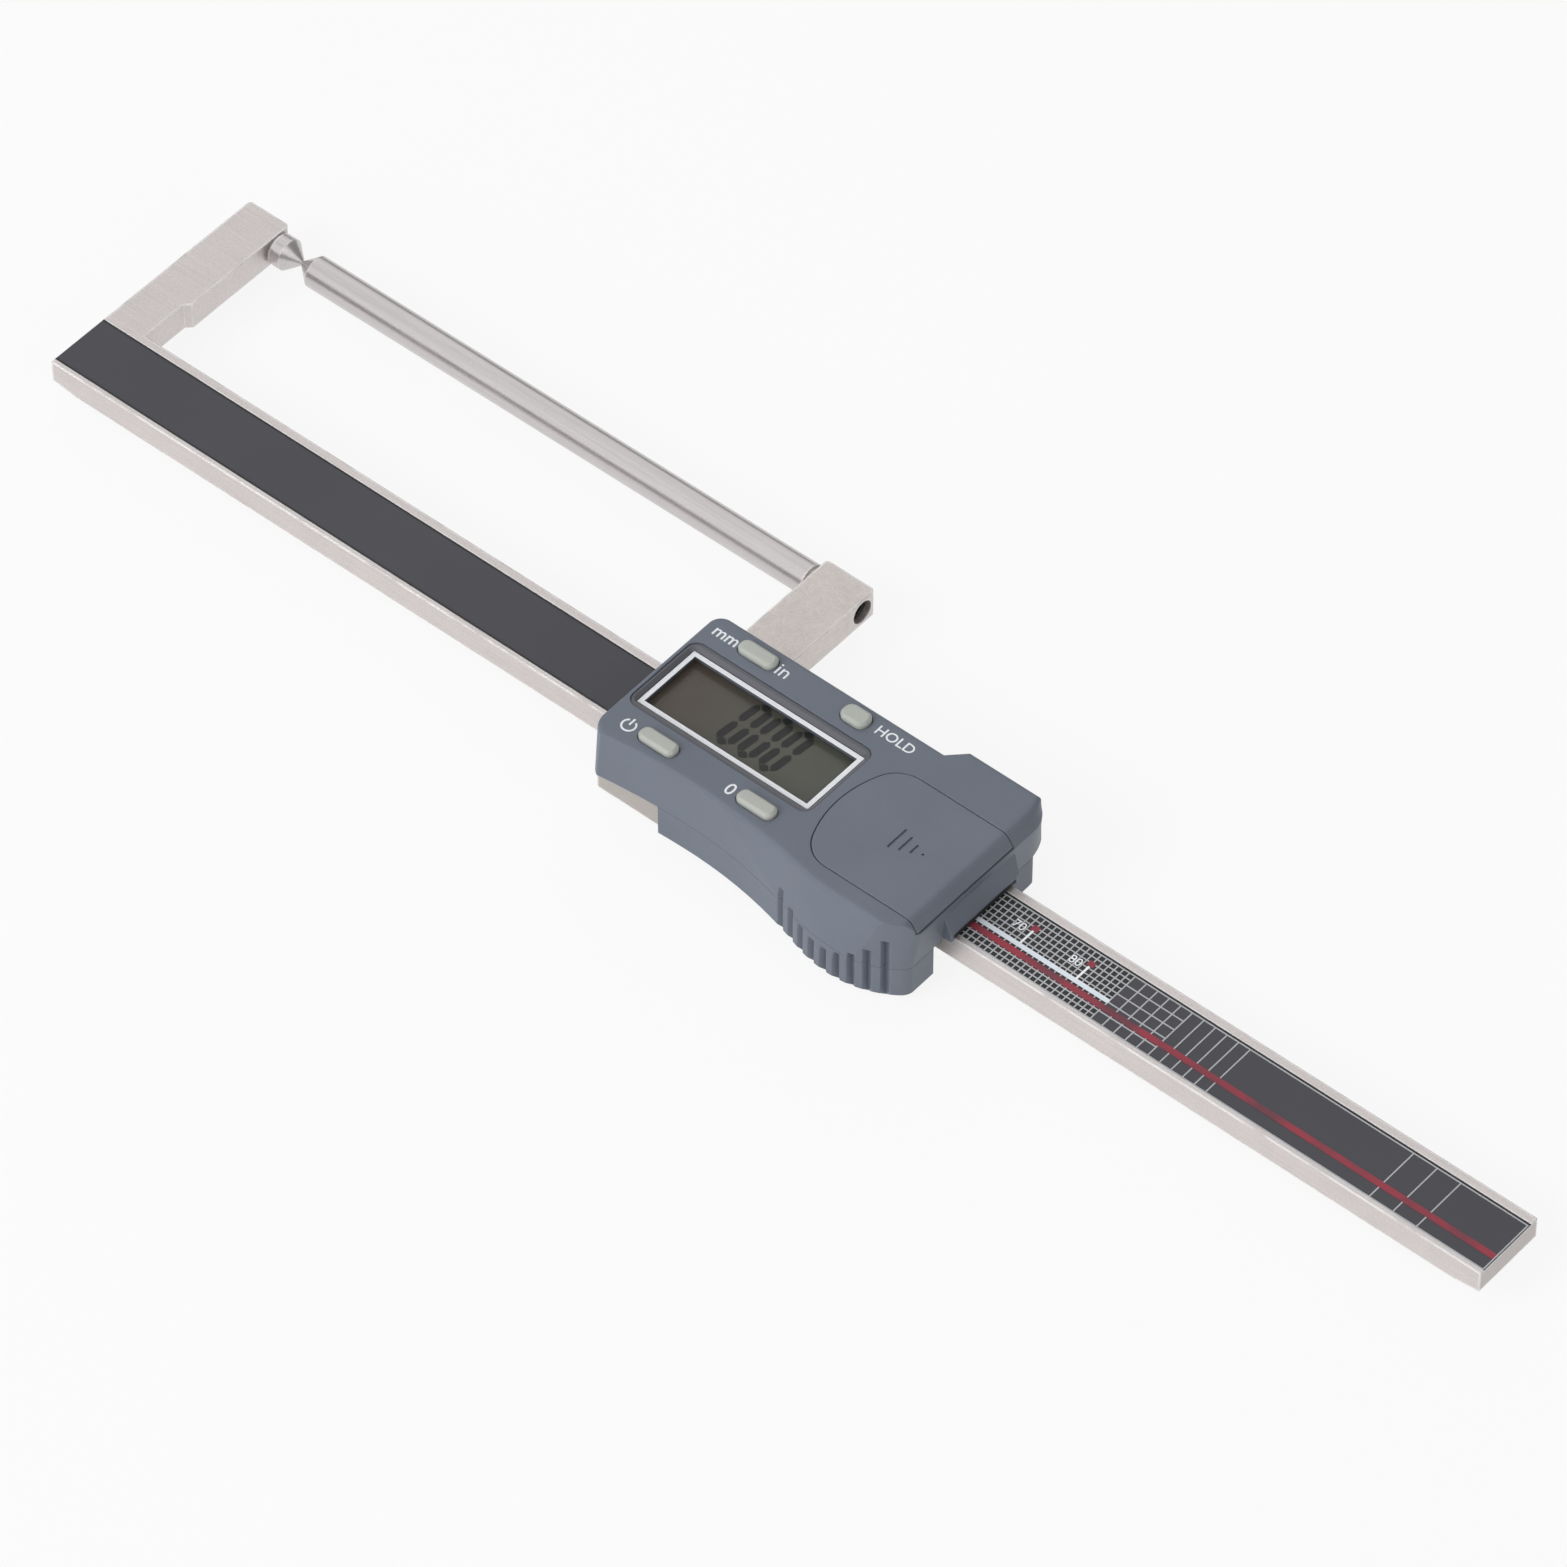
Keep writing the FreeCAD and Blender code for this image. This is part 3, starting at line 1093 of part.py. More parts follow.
def make_top_cover():
    """The moulded cover: lofted outside, hollow, with display, button and battery openings."""
    frame_seat = box("frame_seat", (slider_left - fit, frame_right + fit),
                     (-(frame_near_bare + fit), frame_far + fit), (cover_bottom - overrun, frame_top))
    left_of_all = cover_left - overrun
    grip_room = box("grip_room", (cover_left - overrun * 2, cover_right + overrun),
                    (-(wall_crest + overrun), far_bulge_top + overrun), (-overrun, cover_bottom))
    slot = box("beam_slot", (left_of_all, cover_right + overrun), (-slot_half_width, slot_half_width),
               (cover_bottom - overrun, slot_top))
    jaw_room = box("jaw_room", (left_of_all, moving_jaw_right + fit), (frame_far - overrun, jaw_reach),
                   (cover_bottom - overrun, beam_top + fit))
    holes = [button_hole(*entry) for entry in button_list()]
    shell = without("cover_shell", make_outside("cover_outside"), grip_room, make_cavity(), frame_seat,
                    slot, jaw_room, *display_cuts(), *holes)
    bosses = []
    bores = []
    for name, x, y, seat, end, top in cover_screw_list():
        bosses.append(rod(f"boss_{name}", boss_radius, top - seat, x, y, seat))
        bores.append(rod(f"bore_{name}", screw_radius - seat_clearance, end, x, y, 0))
    ring_low = board_top + cell_room
    ring = rod("cell_ring", cell_diameter / 2 + cell_room + cup_wall, ceiling - ring_low,
               cell_x, cell_y, ring_low)
    body = joined("cover_joined", shell, make_hood(), ring, *bosses)
    cell_space = rod("cell_space", cell_diameter / 2 + cell_room, ceiling - board_top,
                     cell_x, cell_y, board_top)
    half_slot = contact_width / 2 + cell_room
    contact_slot = box("contact_slot",
                       (cell_x - cell_diameter / 2 - cell_room - cup_wall - fit, cell_x),
                       (cell_y - half_slot, cell_y + half_slot),
                       (board_top, cell_bottom + cell_thickness / 2 + fit))
    return label(without("cover_solid", body, lid_region("lid_opening", lid_gap, cover_bend), cell_space,
                         contact_slot, grip_grooves(), *bores), "top_cover")


def make_battery_cover():
    """Battery cover, cut from the same outside form, so it lies flush with the top cover."""
    blank = shared("lid_blank", make_outside("lid_outside"),
                   lid_region("lid_solid", as_size(0), cover_bend + lid_shadow))
    lines = []
    for number in range(GRIP_LINES):
        length = grip_line_length - grip_line_step * number
        if number == GRIP_LINES - 1:
            length = grip_line_width
        x = grip_line_x + grip_line_pitch * number
        lines.append(box(f"grip_line_{number + 1}", (x - grip_line_width / 2, x + grip_line_width / 2),
                         (cell_y - length / 2, cell_y + length / 2),
                         (cover_top - grip_line_depth, cover_top + overrun)))
    return label(without("lid_finished", blank, *lines), "battery_cover")


def make_battery():
    """Coin cell, the bent spring under it and the plate at its side."""
    body = new_body("battery_cell")
    half = sketch_on(body, "XZ_Plane", "cell_section")
    radius = cell_diameter / 2
    outline(
        half,
        (0, 0), (cell_cap, 0), (cell_cap, cell_step), (radius, cell_step),
        (radius, cell_thickness), (0, cell_thickness))
    turned(body, half, "cell_can", "V_Axis")
    put(body, cell_x, cell_y, cell_bottom)
    label(body, "battery_cell")
    spring = new_body("battery_spring")
    bend = sketch_on(spring, "XZ_Plane", "spring_profile", -(cell_y + contact_width / 2))
    left = cell_x - contact_width
    kink = cell_x - contact_width / 4
    tip = cell_x + contact_width / 2
    end = cell_x + contact_width
    thick = contact_thickness
    outline(
        bend,
        (left, board_top), (kink + thick / 2, board_top), (tip + thick / 2, cell_bottom - thick),
        (end, cell_bottom - thick), (end, cell_bottom), (tip, cell_bottom),
        (kink, board_top + thick), (left, board_top + thick))
    pad(spring, bend, contact_width, "spring_blade")
    label(spring, "battery_spring")
    face = cell_x - cell_diameter / 2 - seat_clearance
    plate = box("side_plate", (face - contact_thickness, face),
                (cell_y - contact_width / 2, cell_y + contact_width / 2),
                (board_top, cell_bottom + cell_thickness / 2))
    return label(plate, "battery_side_contact")


# Grip shell, the moulding under the frame

def make_grip_shell():
    """A block cut out for frame and beam, then shared with the outside form and grooved."""
    body = new_body("grip_shell")
    plan = sketch_on(body, "XY_Plane", "shell_plan")
    outside = wall_crest + overrun
    outline(
        plan,
        (bare_right, -outside), (shell_right, -outside), (shell_right, wing_far - shell_corner),
        (shell_right - shell_corner, wing_far, shell_corner, 1), (bare_right, wing_far))
    block = pad(body, plan, cover_bottom - shell_gap, "shell_block")
    doc.recompute()
    open_end = (bare_right + seat_clearance).value
    near_end = -wall_crest.value
    rim = edges_where(block, lambda at: near(at.z, 0) and at.x > open_end and at.y > near_end - overrun.value / 2)
    dress(body, "Chamfer", "shell_rim", block, rim, base_bevel)
    above = cover_bottom + overrun
    seat = sketch_on(body, "XY_Plane", "frame_seat_plan", above)
    outline(
        seat,
        (bare_right - overrun, -(frame_near + fit)), (frame_right + fit, -(frame_near + fit)),
        (frame_right + fit, frame_far + fit), (bare_right - overrun, frame_far + fit))
    pocket(body, seat, above - back_plate, "frame_seat_pocket")
    notch = sketch_on(body, "XY_Plane", "notch_plan", above)
    outline(
        notch,
        (frame_right, -beam_notch), (shell_right + overrun, -beam_notch),
        (shell_right + overrun, beam_notch), (frame_right, beam_notch))
    pocket(body, notch, above + overrun, "beam_notch_pocket")
    hollow = sketch_on(body, "XY_Plane", "hollow_plan", above)
    hollow_right = screw_near_x - boss_radius * 2
    outline(
        hollow,
        (cavity_turn, -(frame_near + hollow_wall / 2)),
        (cavity_turn + hollow_wall, -(wall_crest - hollow_wall)),
        (hollow_right, -(wall_crest - hollow_wall)), (hollow_right, -(frame_near + hollow_wall / 2)))
    pocket(body, hollow, above - hollow_wall, "grip_hollow")
    holes = sketch_on(body, "XY_Plane", "shell_screw_plan")
    sinks = sketch_on(body, "XY_Plane", "shell_sink_plan")
    for name, x, y, seat, end, top in cover_screw_list():
        if name.startswith("right"):
            circle(holes, x, y, screw_radius + fit)
            circle(sinks, x, y, screw_head_radius + fit)
    pocket(body, holes, above, "shell_screw_holes", back=True)
    pocket(body, sinks, screw_head_height + fit, "shell_screw_sinks", back=True)
    form = shared("shell_form", body, make_outside("shell_outside"))
    return label(without("shell_solid", form, grip_grooves()), "grip_shell")


def grip_edge(x):
    """Where the upright grip wall lies at a place along the beam, from its arcs."""
    run = (crest_x - waist_x).value
    step = (wall_crest - wall_waist).value
    swell = (run ** 2 + step ** 2) / (step * 2)
    share = swell_share.value
    if x < waist_x.value + run * share:
        radius = swell * share
        return -(wall_waist.value + radius - math.sqrt(radius ** 2 - (x - waist_x.value) ** 2))
    radius = swell * (1 - share)
    if x > crest_x.value:
        radius = wall_end_arc.value
    return -(wall_crest.value - radius + math.sqrt(radius ** 2 - (x - crest_x.value) ** 2))


def grip_angle(x):
    """How far the grip's wall is turned there, in degrees, from two places close together."""
    step = seat_clearance.value
    rise = grip_edge(x + step) - grip_edge(x - step)
    return math.degrees(math.atan2(rise, step * 2))


def grip_grooves():
    """Upright V cutters along the grip, square to its wall; their tops follow a curve."""
    cutters = []
    grip_grooves.made += 1
    for number in range(GROOVES):
        x = groove_left + groove_pitch * number
        away = x.value - groove_middle.value
        top = groove_low + groove_rise * (away * away)
        name = f"groove_{grip_grooves.made}_{number + 1}"
        cutters.append(groove_cutter(name, x, top))
    return group(f"grooves_{grip_grooves.made}", *cutters)


grip_grooves.made = 0


def groove_cutter(name, x, top):
    """One V: wide outside the wall, a line inside it that ends lower than the mouth."""
    mouth = groove_half_width * ((groove_depth + overrun) / groove_depth)
    wedge = doc.addObject("Part::Wedge", name)
    for side, length in (
            ("Xmin", -mouth), ("Xmax", mouth), ("Ymin", -overrun), ("Ymax", groove_depth),
            ("Zmin", -overrun), ("Zmax", top), ("X2min", 0), ("X2max", 0),
            ("Z2min", -overrun), ("Z2max", top - groove_fade)):
        bind(wedge, side, length)
    turn = FreeCAD.Rotation(Vector(0, 0, 1), grip_angle(x.value))
    return put(wedge, x, grip_edge(x.value), 0, turn)


def make_cover_screws():
    screws = []
    drive_width = screw_radius / 2
    for name, x, y, seat, end, top in cover_screw_list():
        head = rod(f"head_{name}", screw_head_radius, screw_head_height, x, y, fit)
        shank = rod(f"shank_{name}", screw_radius - seat_clearance * 2, end - fit * 2, x, y, fit)
        drive = box(f"drive_{name}", (x - screw_head_radius, x + screw_head_radius),
                    (y - drive_width / 2, y + drive_width / 2), (0, fit + screw_head_height / 2))
        screws.append(without(f"screw_{name}", joined(f"screw_blank_{name}", head, shank), drive))
    return label(group("cover_screw_set", *screws), "cover_screws")


def make_end_stop():
    """Plate under the beam that stops the slider, and its two screws."""
    plate = box("stop_plate", (stop_left, stop_left + stop_length), (-stop_width / 2, stop_width / 2),
                (beam_underside - stop_thickness, beam_underside))
    holes = []
    screws = []
    for side, name in ((-1, "near"), (1, "far")):
        y = side * stop_width / 4
        low = beam_underside - stop_thickness
        holes.append(rod(f"stop_hole_{name}", stop_screw_radius + fit, stop_thickness + overrun * 2,
                         stop_middle, y, low - overrun))
        head = rod(f"stop_head_{name}", stop_head_radius, stop_head_height, stop_middle, y,
                   low - stop_head_height)
        shank = rod(f"stop_shank_{name}", stop_screw_radius - seat_clearance,
                    stop_thickness + stop_screw_depth - fit, stop_middle, y, low)
        screws.append(joined(f"stop_screw_{name}", head, shank))
    label(without("stop_plate_solid", plate, *holes), "end_stop")
    return label(group("stop_screw_set", *screws), "end_stop_screws")


def make_wipers():
    """Rubber wipers that close the slot round the beam at both ends of the cover."""
    start = cover_left + wiper_inset
    bar = box("wiper_bar", (start, start + wiper_length), (-slot_half_width, slot_half_width),
              (frame_top + fit / 2, slot_top))
    label(bar, "wiper_left")
    end = hood_face - wiper_inset
    bar = box("wiper_end_bar", (end - wiper_length, end), (-slot_half_width, slot_half_width),
              (frame_top + fit / 2, slot_top))
    label(bar, "wiper_right")


def check_model():
    """Stop if any object failed or any sub-part is empty or broken."""
    for thing in doc.Objects:
        if "Invalid" in thing.State or "Error" in thing.State:
            raise RuntimeError(f"{thing.Name} failed: {thing.State}")
    for thing in sub_parts:
        if thing.Shape.isNull() or not thing.Shape.isValid() or not thing.Shape.Solids:
            raise RuntimeError(f"{thing.Label} has no valid shape")


make_beam()
make_scale()
make_anvil()
make_measuring_rod()
make_rod_screw()
make_slider_frame()
make_gib()
make_guide_plate()
make_boards()
make_display()
make_top_cover()
make_battery_cover()
make_battery()
for entry in button_list():
    make_button(*entry)
make_domes()
make_grip_shell()
make_cover_screws()
make_end_stop()
make_wipers()
doc.recompute()
check_model()
os.makedirs("parts", exist_ok=True)
for piece in sub_parts:
    piece.Shape.exportStep(f"parts/{piece.Label}.step")
print(len(sub_parts), "sub-parts written")
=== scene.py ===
# %% [markdown]
# # A digital brake rotor gauge, dressed for the studio
#
# The gauge is a flat steel beam with a fixed jaw at one end. A slider runs along
# the beam. It carries a long measuring rod, and the rod's point meets a cone on the
# jaw with a brake rotor between the two. A moulded cover on the slider holds the
# display and four buttons.
#
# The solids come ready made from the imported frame. This lesson gives them their
# finishes, softens their edges, prints the scale and the legends, and lights them.

# %% Load the frame
import math

import bmesh
import bpy
from mathutils import Matrix, Vector


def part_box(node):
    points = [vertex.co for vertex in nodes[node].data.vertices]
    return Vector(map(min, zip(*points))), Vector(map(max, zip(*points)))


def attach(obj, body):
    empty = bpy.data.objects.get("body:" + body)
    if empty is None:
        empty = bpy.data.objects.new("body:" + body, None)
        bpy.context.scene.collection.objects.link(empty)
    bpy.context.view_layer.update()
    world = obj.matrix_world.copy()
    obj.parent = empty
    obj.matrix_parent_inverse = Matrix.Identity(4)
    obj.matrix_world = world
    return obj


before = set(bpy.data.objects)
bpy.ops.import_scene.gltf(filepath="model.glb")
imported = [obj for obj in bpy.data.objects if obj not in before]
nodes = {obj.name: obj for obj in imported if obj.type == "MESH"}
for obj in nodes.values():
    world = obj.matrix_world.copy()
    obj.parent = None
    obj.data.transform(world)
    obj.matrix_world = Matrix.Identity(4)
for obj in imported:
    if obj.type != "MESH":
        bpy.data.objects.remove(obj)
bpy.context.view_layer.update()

MM = 0.001

# %% [markdown]
# ## The camera
#
# A product camera stands far away with a long lens, so that parallel edges stay
# almost parallel. The beam runs from the upper left to the lower right of the frame.
# A place and a point to look at are enough to set it. Two angles and a distance would
# do the same, but a point to look at is easier to correct.

# %% Camera
CAMERA_PLACE = Vector((604.7, -720.4, 1081.5)) * MM
CAMERA_AIM = Vector((-5.50, 0.17, 8.0)) * MM
FOCAL_LENGTH, SENSOR_WIDTH = 234.1, 36.0
NEAREST, FARTHEST = 0.05, 20.0

lens = bpy.data.cameras.new("studio_camera")
lens.lens = FOCAL_LENGTH
lens.sensor_width = SENSOR_WIDTH
lens.clip_start = NEAREST
lens.clip_end = FARTHEST
camera = bpy.data.objects.new("studio_camera", lens)
camera.location = CAMERA_PLACE
camera.rotation_euler = (CAMERA_AIM - CAMERA_PLACE).to_track_quat("-Z", "Y").to_euler()
bpy.context.scene.collection.objects.link(camera)
bpy.context.scene.camera = camera
print("camera to gauge:", round((CAMERA_AIM - CAMERA_PLACE).length, 3), "m")

# %% [markdown]
# ## Colours
#
# Colours are easy to read on a scale of 0 to 255, as a paint program shows them.
# Shaders want linear light, so one function turns the first into the second by the
# usual curve of screens. A finish is rarely one colour, so a second function gives
# paler and darker kin of the first.

# %% Colours
def colour(red, green, blue):
    """A colour read from 0 to 255 as linear light, with full cover."""
    def linear(level):
        level = level / 255
        return level / 12.92 if level <= 0.04045 else ((level + 0.055) / 1.055) ** 2.4
    return (linear(red), linear(green), linear(blue), 1.0)


def kin(shade, factor):
    """The same colour made paler or darker by a factor, and never past white."""
    return tuple(min(level * factor, 1.0) for level in shade[:3]) + (1.0,)


print("mid grey in linear light:", round(colour(128, 128, 128)[0], 3))

# %% [markdown]
# ## Shader maths
#
# A material is a net of nodes. Drawing nodes for every plus and times hides the idea,
# so a small class wraps one socket and lets Python's own signs add the Math nodes.

# %% Maths on a socket
class Wire:
    """One socket of a material, so that maths on it reads as Python."""

    def __init__(self, finish, socket):
        self.finish = finish
        self.end = socket

    def maths(self, operation, first, second):
        return self.finish.node("ShaderNodeMath", {"operation": operation},
                                {"Value": first, "Value_001": second})

    def __add__(self, other):
        return self.maths("ADD", self, other)

    def __radd__(self, other):
        return self.maths("ADD", other, self)

    def __sub__(self, other):
        return self.maths("SUBTRACT", self, other)

    def __rsub__(self, other):
        return self.maths("SUBTRACT", other, self)

    def __mul__(self, other):
        return self.maths("MULTIPLY", self, other)

    def __rmul__(self, other):
        return self.maths("MULTIPLY", other, self)

    def between(self, low, high):
        """0 below low, 1 above high, and a straight climb between."""
        settings = {"interpolation_type": "LINEAR", "clamp": True}
        return self.finish.node("ShaderNodeMapRange", settings,
                                {"Value": self, "From Min": low, "From Max": high})


print("signs that add nodes: plus, minus, times")

# %% [markdown]
# A second class holds one material and places any other node in one line. It also has
# the few patterns that every finish of this gauge is mixed from: noise of a given size
# in metres, a blend of two colours, softened edges, and a bump. The solids have sharp
# edges. A Bevel node bends the light along them as if they were rounded, which leaves
# the shape alone, and the same node tells where an edge would show wear and where a
# painted highlight goes.

# %% One material
EDGE_SAMPLES = 6


class Finish:
    """One material, built node by node."""

    def __init__(self, name):
        self.material = bpy.data.materials.new(name)
        self.material.use_nodes = True
        self.tree = self.material.node_tree
        self.tree.nodes.clear()
        self.place = self.node("ShaderNodeTexCoord", output="Object")

    def node(self, kind, settings=(), inputs=(), output=None):
        """Adds a node, sets it, feeds its sockets, and gives back one of its outputs."""
        made = self.tree.nodes.new(kind)
        for name, value in dict(settings).items():
            setattr(made, name, value)
        for name, value in dict(inputs).items():
            self.feed(made, name, value)
        if not made.outputs:
            return None
        return Wire(self, self.socket(made.outputs, output))

    def socket(self, row, name):
        """The socket of that name or identifier, or the first one in use."""
        if name is None:
            return next(socket for socket in row if socket.enabled)
        named = [socket for socket in row if socket.identifier == name]
        return (named or [s for s in row if s.name == name and s.enabled])[0]

    def feed(self, made, name, value):
        socket = self.socket(made.inputs, name)
        if isinstance(value, Wire):
            self.tree.links.new(value.end, socket)
        else:
            socket.default_value = value

    def stretched(self, across):
        """Object coordinates scaled by a vector, for grain that runs one way."""
        return self.node("ShaderNodeMapping", {"vector_type": "POINT"},
                         {"Vector": self.place, "Scale": across})

    def noise(self, size, detail=2.0, rough=0.5, vector=None):
        """Noise whose lumps are about size metres across, from 0 to 1."""
        return self.node("ShaderNodeTexNoise", {"noise_dimensions": "3D"},
                         {"Vector": vector or self.place, "Scale": 1.0 / size,
                          "Detail": detail, "Roughness": rough})

    def blend(self, amount, first, second):
        """One colour laid over another by amount."""
        settings = {"data_type": "RGBA", "blend_type": "MIX", "clamp_factor": True}
        return self.node("ShaderNodeMix", settings,
                         {"Factor_Float": amount, "A_Color": first, "B_Color": second},
                         "Result_Color")

    def soft_normal(self, radius):
        """The surface direction with its edges rounded to a radius."""
        return self.node("ShaderNodeBevel", {"samples": EDGE_SAMPLES}, {"Radius": radius},
                         "Normal")

    def edges(self, radius, low, high):
        """1 along the outer edges, 0 on the flats. Low and high say how far the surface
        has to bend for that."""
        rounded = self.soft_normal(radius)
        plain = self.node("ShaderNodeNewGeometry", output="Normal")
        facing = self.node("ShaderNodeVectorMath", {"operation": "DOT_PRODUCT"},
                           {"Vector": rounded, "Vector_001": plain}, "Value")
        return (1.0 - facing).between(low, high)

    def bump(self, height, depth, normal=None):
        """A bump of depth metres where height goes from 0 to 1."""
        inputs = {"Height": height, "Strength": 1.0, "Distance": depth}
        if normal is not None:
            inputs["Normal"] = normal
        return self.node("ShaderNodeBump", {}, inputs, "Normal")

    def surface(self, **inputs):
        """Ends the material in one Principled surface."""
        fed = {name.replace("_", " "): value for name, value in inputs.items()}
        shader = self.node("ShaderNodeBsdfPrincipled", {}, fed, "BSDF")
        self.node("ShaderNodeOutputMaterial", {}, {"Surface": shader})
        return self.material


print("a material is one", Finish.__name__, "and its sums are", Wire.__name__, "objects")

# %% [markdown]
# ## The floor
#
# The gauge lies on a white sweep. The floor is a plain diffuse white that catches the
# shadow, mixed with a steady white that only the camera, reflections and clear panes
# see, so that the background stays pale without any extra light on the gauge. It lies a
# hair lower than the beam, because two surfaces at one height flicker.

# %% Floor
BACKGROUND = colour(253, 253, 253)
FLOOR_SHADE = colour(243, 243, 243)
STEADY_SHARE = 0.88
FLOOR_HALF = 6.0
FLOOR_GAP = 0.0002

sweep = Finish("white_sweep")
seen = sweep.node("ShaderNodeLightPath", output="Is Camera Ray")
mirrored = sweep.node("ShaderNodeLightPath", output="Is Glossy Ray")
through = sweep.node("ShaderNodeLightPath", output="Is Transmission Ray")
steady = sweep.node("ShaderNodeEmission", {}, {"Color": BACKGROUND, "Strength": 1.0})
matt = sweep.node("ShaderNodeBsdfDiffuse", {}, {"Color": FLOOR_SHADE})
share = (seen + mirrored + through).between(0.0, 1.0) * STEADY_SHARE
mixed = sweep.node("ShaderNodeMixShader", {},
                   {"Fac": share, "Shader": matt, "Shader_001": steady})
sweep.node("ShaderNodeOutputMaterial", {}, {"Surface": mixed})

floor_mesh = bpy.data.meshes.new("floor")
corners = [(x * FLOOR_HALF, y * FLOOR_HALF, 0) for x, y in ((-1, -1), (1, -1), (1, 1), (-1, 1))]
floor_mesh.from_pydata(corners, [], [(0, 1, 2, 3)])
floor_mesh.materials.append(sweep.material)
floor = bpy.data.objects.new("floor", floor_mesh)
floor.location.z = -FLOOR_GAP
bpy.context.scene.collection.objects.link(floor)
print("floor at", floor.location.z, "m")

# %% [markdown]
# ## The lamps
#
# One large soft lamp stands low on the near side, towards the left, so that the upright
# walls come out a little brighter than the top. Steel takes its look from what it
# mirrors, and this lamp would burn a white streak on the rod, so reflections leave it
# out. Steel sees broad, dim windows over the near side, the far side and the right end
# instead, and the world between them. The gap under the near window gives the rod its
# dark line.

# %% World and lamps
WORLD_LIGHT = 0.30

world = bpy.data.worlds.new("studio")
world.use_nodes = True
sky = world.node_tree.nodes["Background"]
sky.inputs["Color"].default_value = (1.0, 1.0, 1.0, 1.0)
sky.inputs["Strength"].default_value = WORLD_LIGHT
bpy.context.scene.world = world


def softbox(name, place, size, power, mirrored=True):
    """A square lamp that faces the gauge. Place and size are in metres, power in watts."""
    lamp = bpy.data.lights.new(name, "AREA")
    lamp.shape = "SQUARE"
    lamp.size = size
    lamp.energy = power
    stand = bpy.data.objects.new(name, lamp)
    stand.location = place
    stand.rotation_euler = Vector(place).to_track_quat("Z", "Y").to_euler()
    stand.visible_glossy = mirrored
    bpy.context.scene.collection.objects.link(stand)


softbox("near_softbox", (-0.63, -1.48, 0.81), 1.2, 17.0, mirrored=False)
softbox("right_window", (1.55, -0.30, 0.80), 1.5, 6.6)
softbox("near_window", (-0.38, -1.23, 1.53), 2.4, 13.8)
softbox("far_window", (-0.70, 0.90, 1.30), 1.9, 7.8)
bpy.context.scene.view_settings.view_transform = "Standard"
print("lamps:", [lamp.name for lamp in bpy.data.lights])

# %% [markdown]
# ## The steels
#
# The beam and the jaws are cut from steel and blasted to a satin skin. Close to, it is
# a warm grey with faint clouds and a fine sandy grain. The edges are brightened by the
# wear of hands and of the box it lives in, and partly by a painted highlight. The beam's
# right end is as the saw left it. It and the slider's foot under the cover's overhang are
# painted darker, as shade. The rod is drawn and ground along its length, so its grain is
# fine and straight.
#
# One function makes all of them from a colour, a grain direction and a roughness, and
# the screws, the springs and the brass strip inside as well. Image textures could show
# the same, but noise on the object's own coordinates has the right size everywhere and
# needs no unwrapping.

# %% Steel
CLOUD_SIZE, SAND_SIZE, WEAR_AND_HIGHLIGHT_SIZE = 0.006, 0.00035, 0.004
END_SHADE_FADE, FOOT_SHADE_FADE = 0.0002, 0.0005
NOWHERE = 1.0


def steel(name, shade, dull, grain, depth=4e-6, cloud=0.10, edge=0.0003, sandy=0.45,
          end_shade=NOWHERE, foot_shade=NOWHERE):
    """Satin steel. Grain is how many fine marks there are to a metre along X, Y and Z,
    dull is the roughness, and sandy the share of the blasted skin. The last two arguments
    say where painted shade makes the steel darker: beyond so many metres along X, and
    beyond so many towards the near side. The edges are paler from wear and a painted highlight."""
    finish = Finish(name)
    clouds = finish.noise(CLOUD_SIZE, 3.0, 0.6)
    sand = finish.noise(SAND_SIZE, 2.0, 0.7)
    marks = finish.noise(1.0, 3.0, 0.6, finish.stretched(grain))
    worn_and_highlit = finish.edges(edge * 1.8, 0.004, 0.06) * finish.noise(WEAR_AND_HIGHLIGHT_SIZE).between(0.25, 0.5)
    tone = clouds * cloud * 2.2 + sand * sandy + marks * 0.25 + (0.45 - sandy) * 0.5
    body = finish.blend(tone.between(0.30, 0.72), kin(shade, 0.80), kin(shade, 1.16))
    along = finish.node("ShaderNodeSeparateXYZ", {}, {"Vector": finish.place}, "X")
    across = finish.node("ShaderNodeSeparateXYZ", {}, {"Vector": finish.place}, "Y")
    # Painted shade: the beam's right end and the slider's foot under the cover are made darker.
    painted_shade = (along.between(end_shade, end_shade + END_SHADE_FADE) * 0.8
            + (0.0 - across).between(foot_shade, foot_shade + FOOT_SHADE_FADE) * 0.65)
    shaded_body = finish.blend(painted_shade, body, kin(shade, 0.66))
    # Painted highlight: the edges are made paler here, partly for wear and partly as light.
    coat = finish.blend(worn_and_highlit * 0.8, shaded_body, kin(shade, 1.5))
    rough = dull + (sand - 0.5) * sandy * 0.27 + (clouds - 0.5) * 0.14 - worn_and_highlit * 0.08
    height = sand * sandy + marks * 0.5
    normal = finish.bump(height, depth, finish.soft_normal(edge))
    return finish.surface(Base_Color=coat, Metallic=0.86 - worn_and_highlit * 0.6, Roughness=rough,
                          Normal=normal)


ALONG = (60.0, 2400.0, 2400.0)
EVEN = (900.0, 900.0, 900.0)
# Where the painted shade begins: along X on the beam, and towards the near side on the slider.
END_SHADE_FROM = 0.1226
FOOT_SHADE_FROM = 0.009

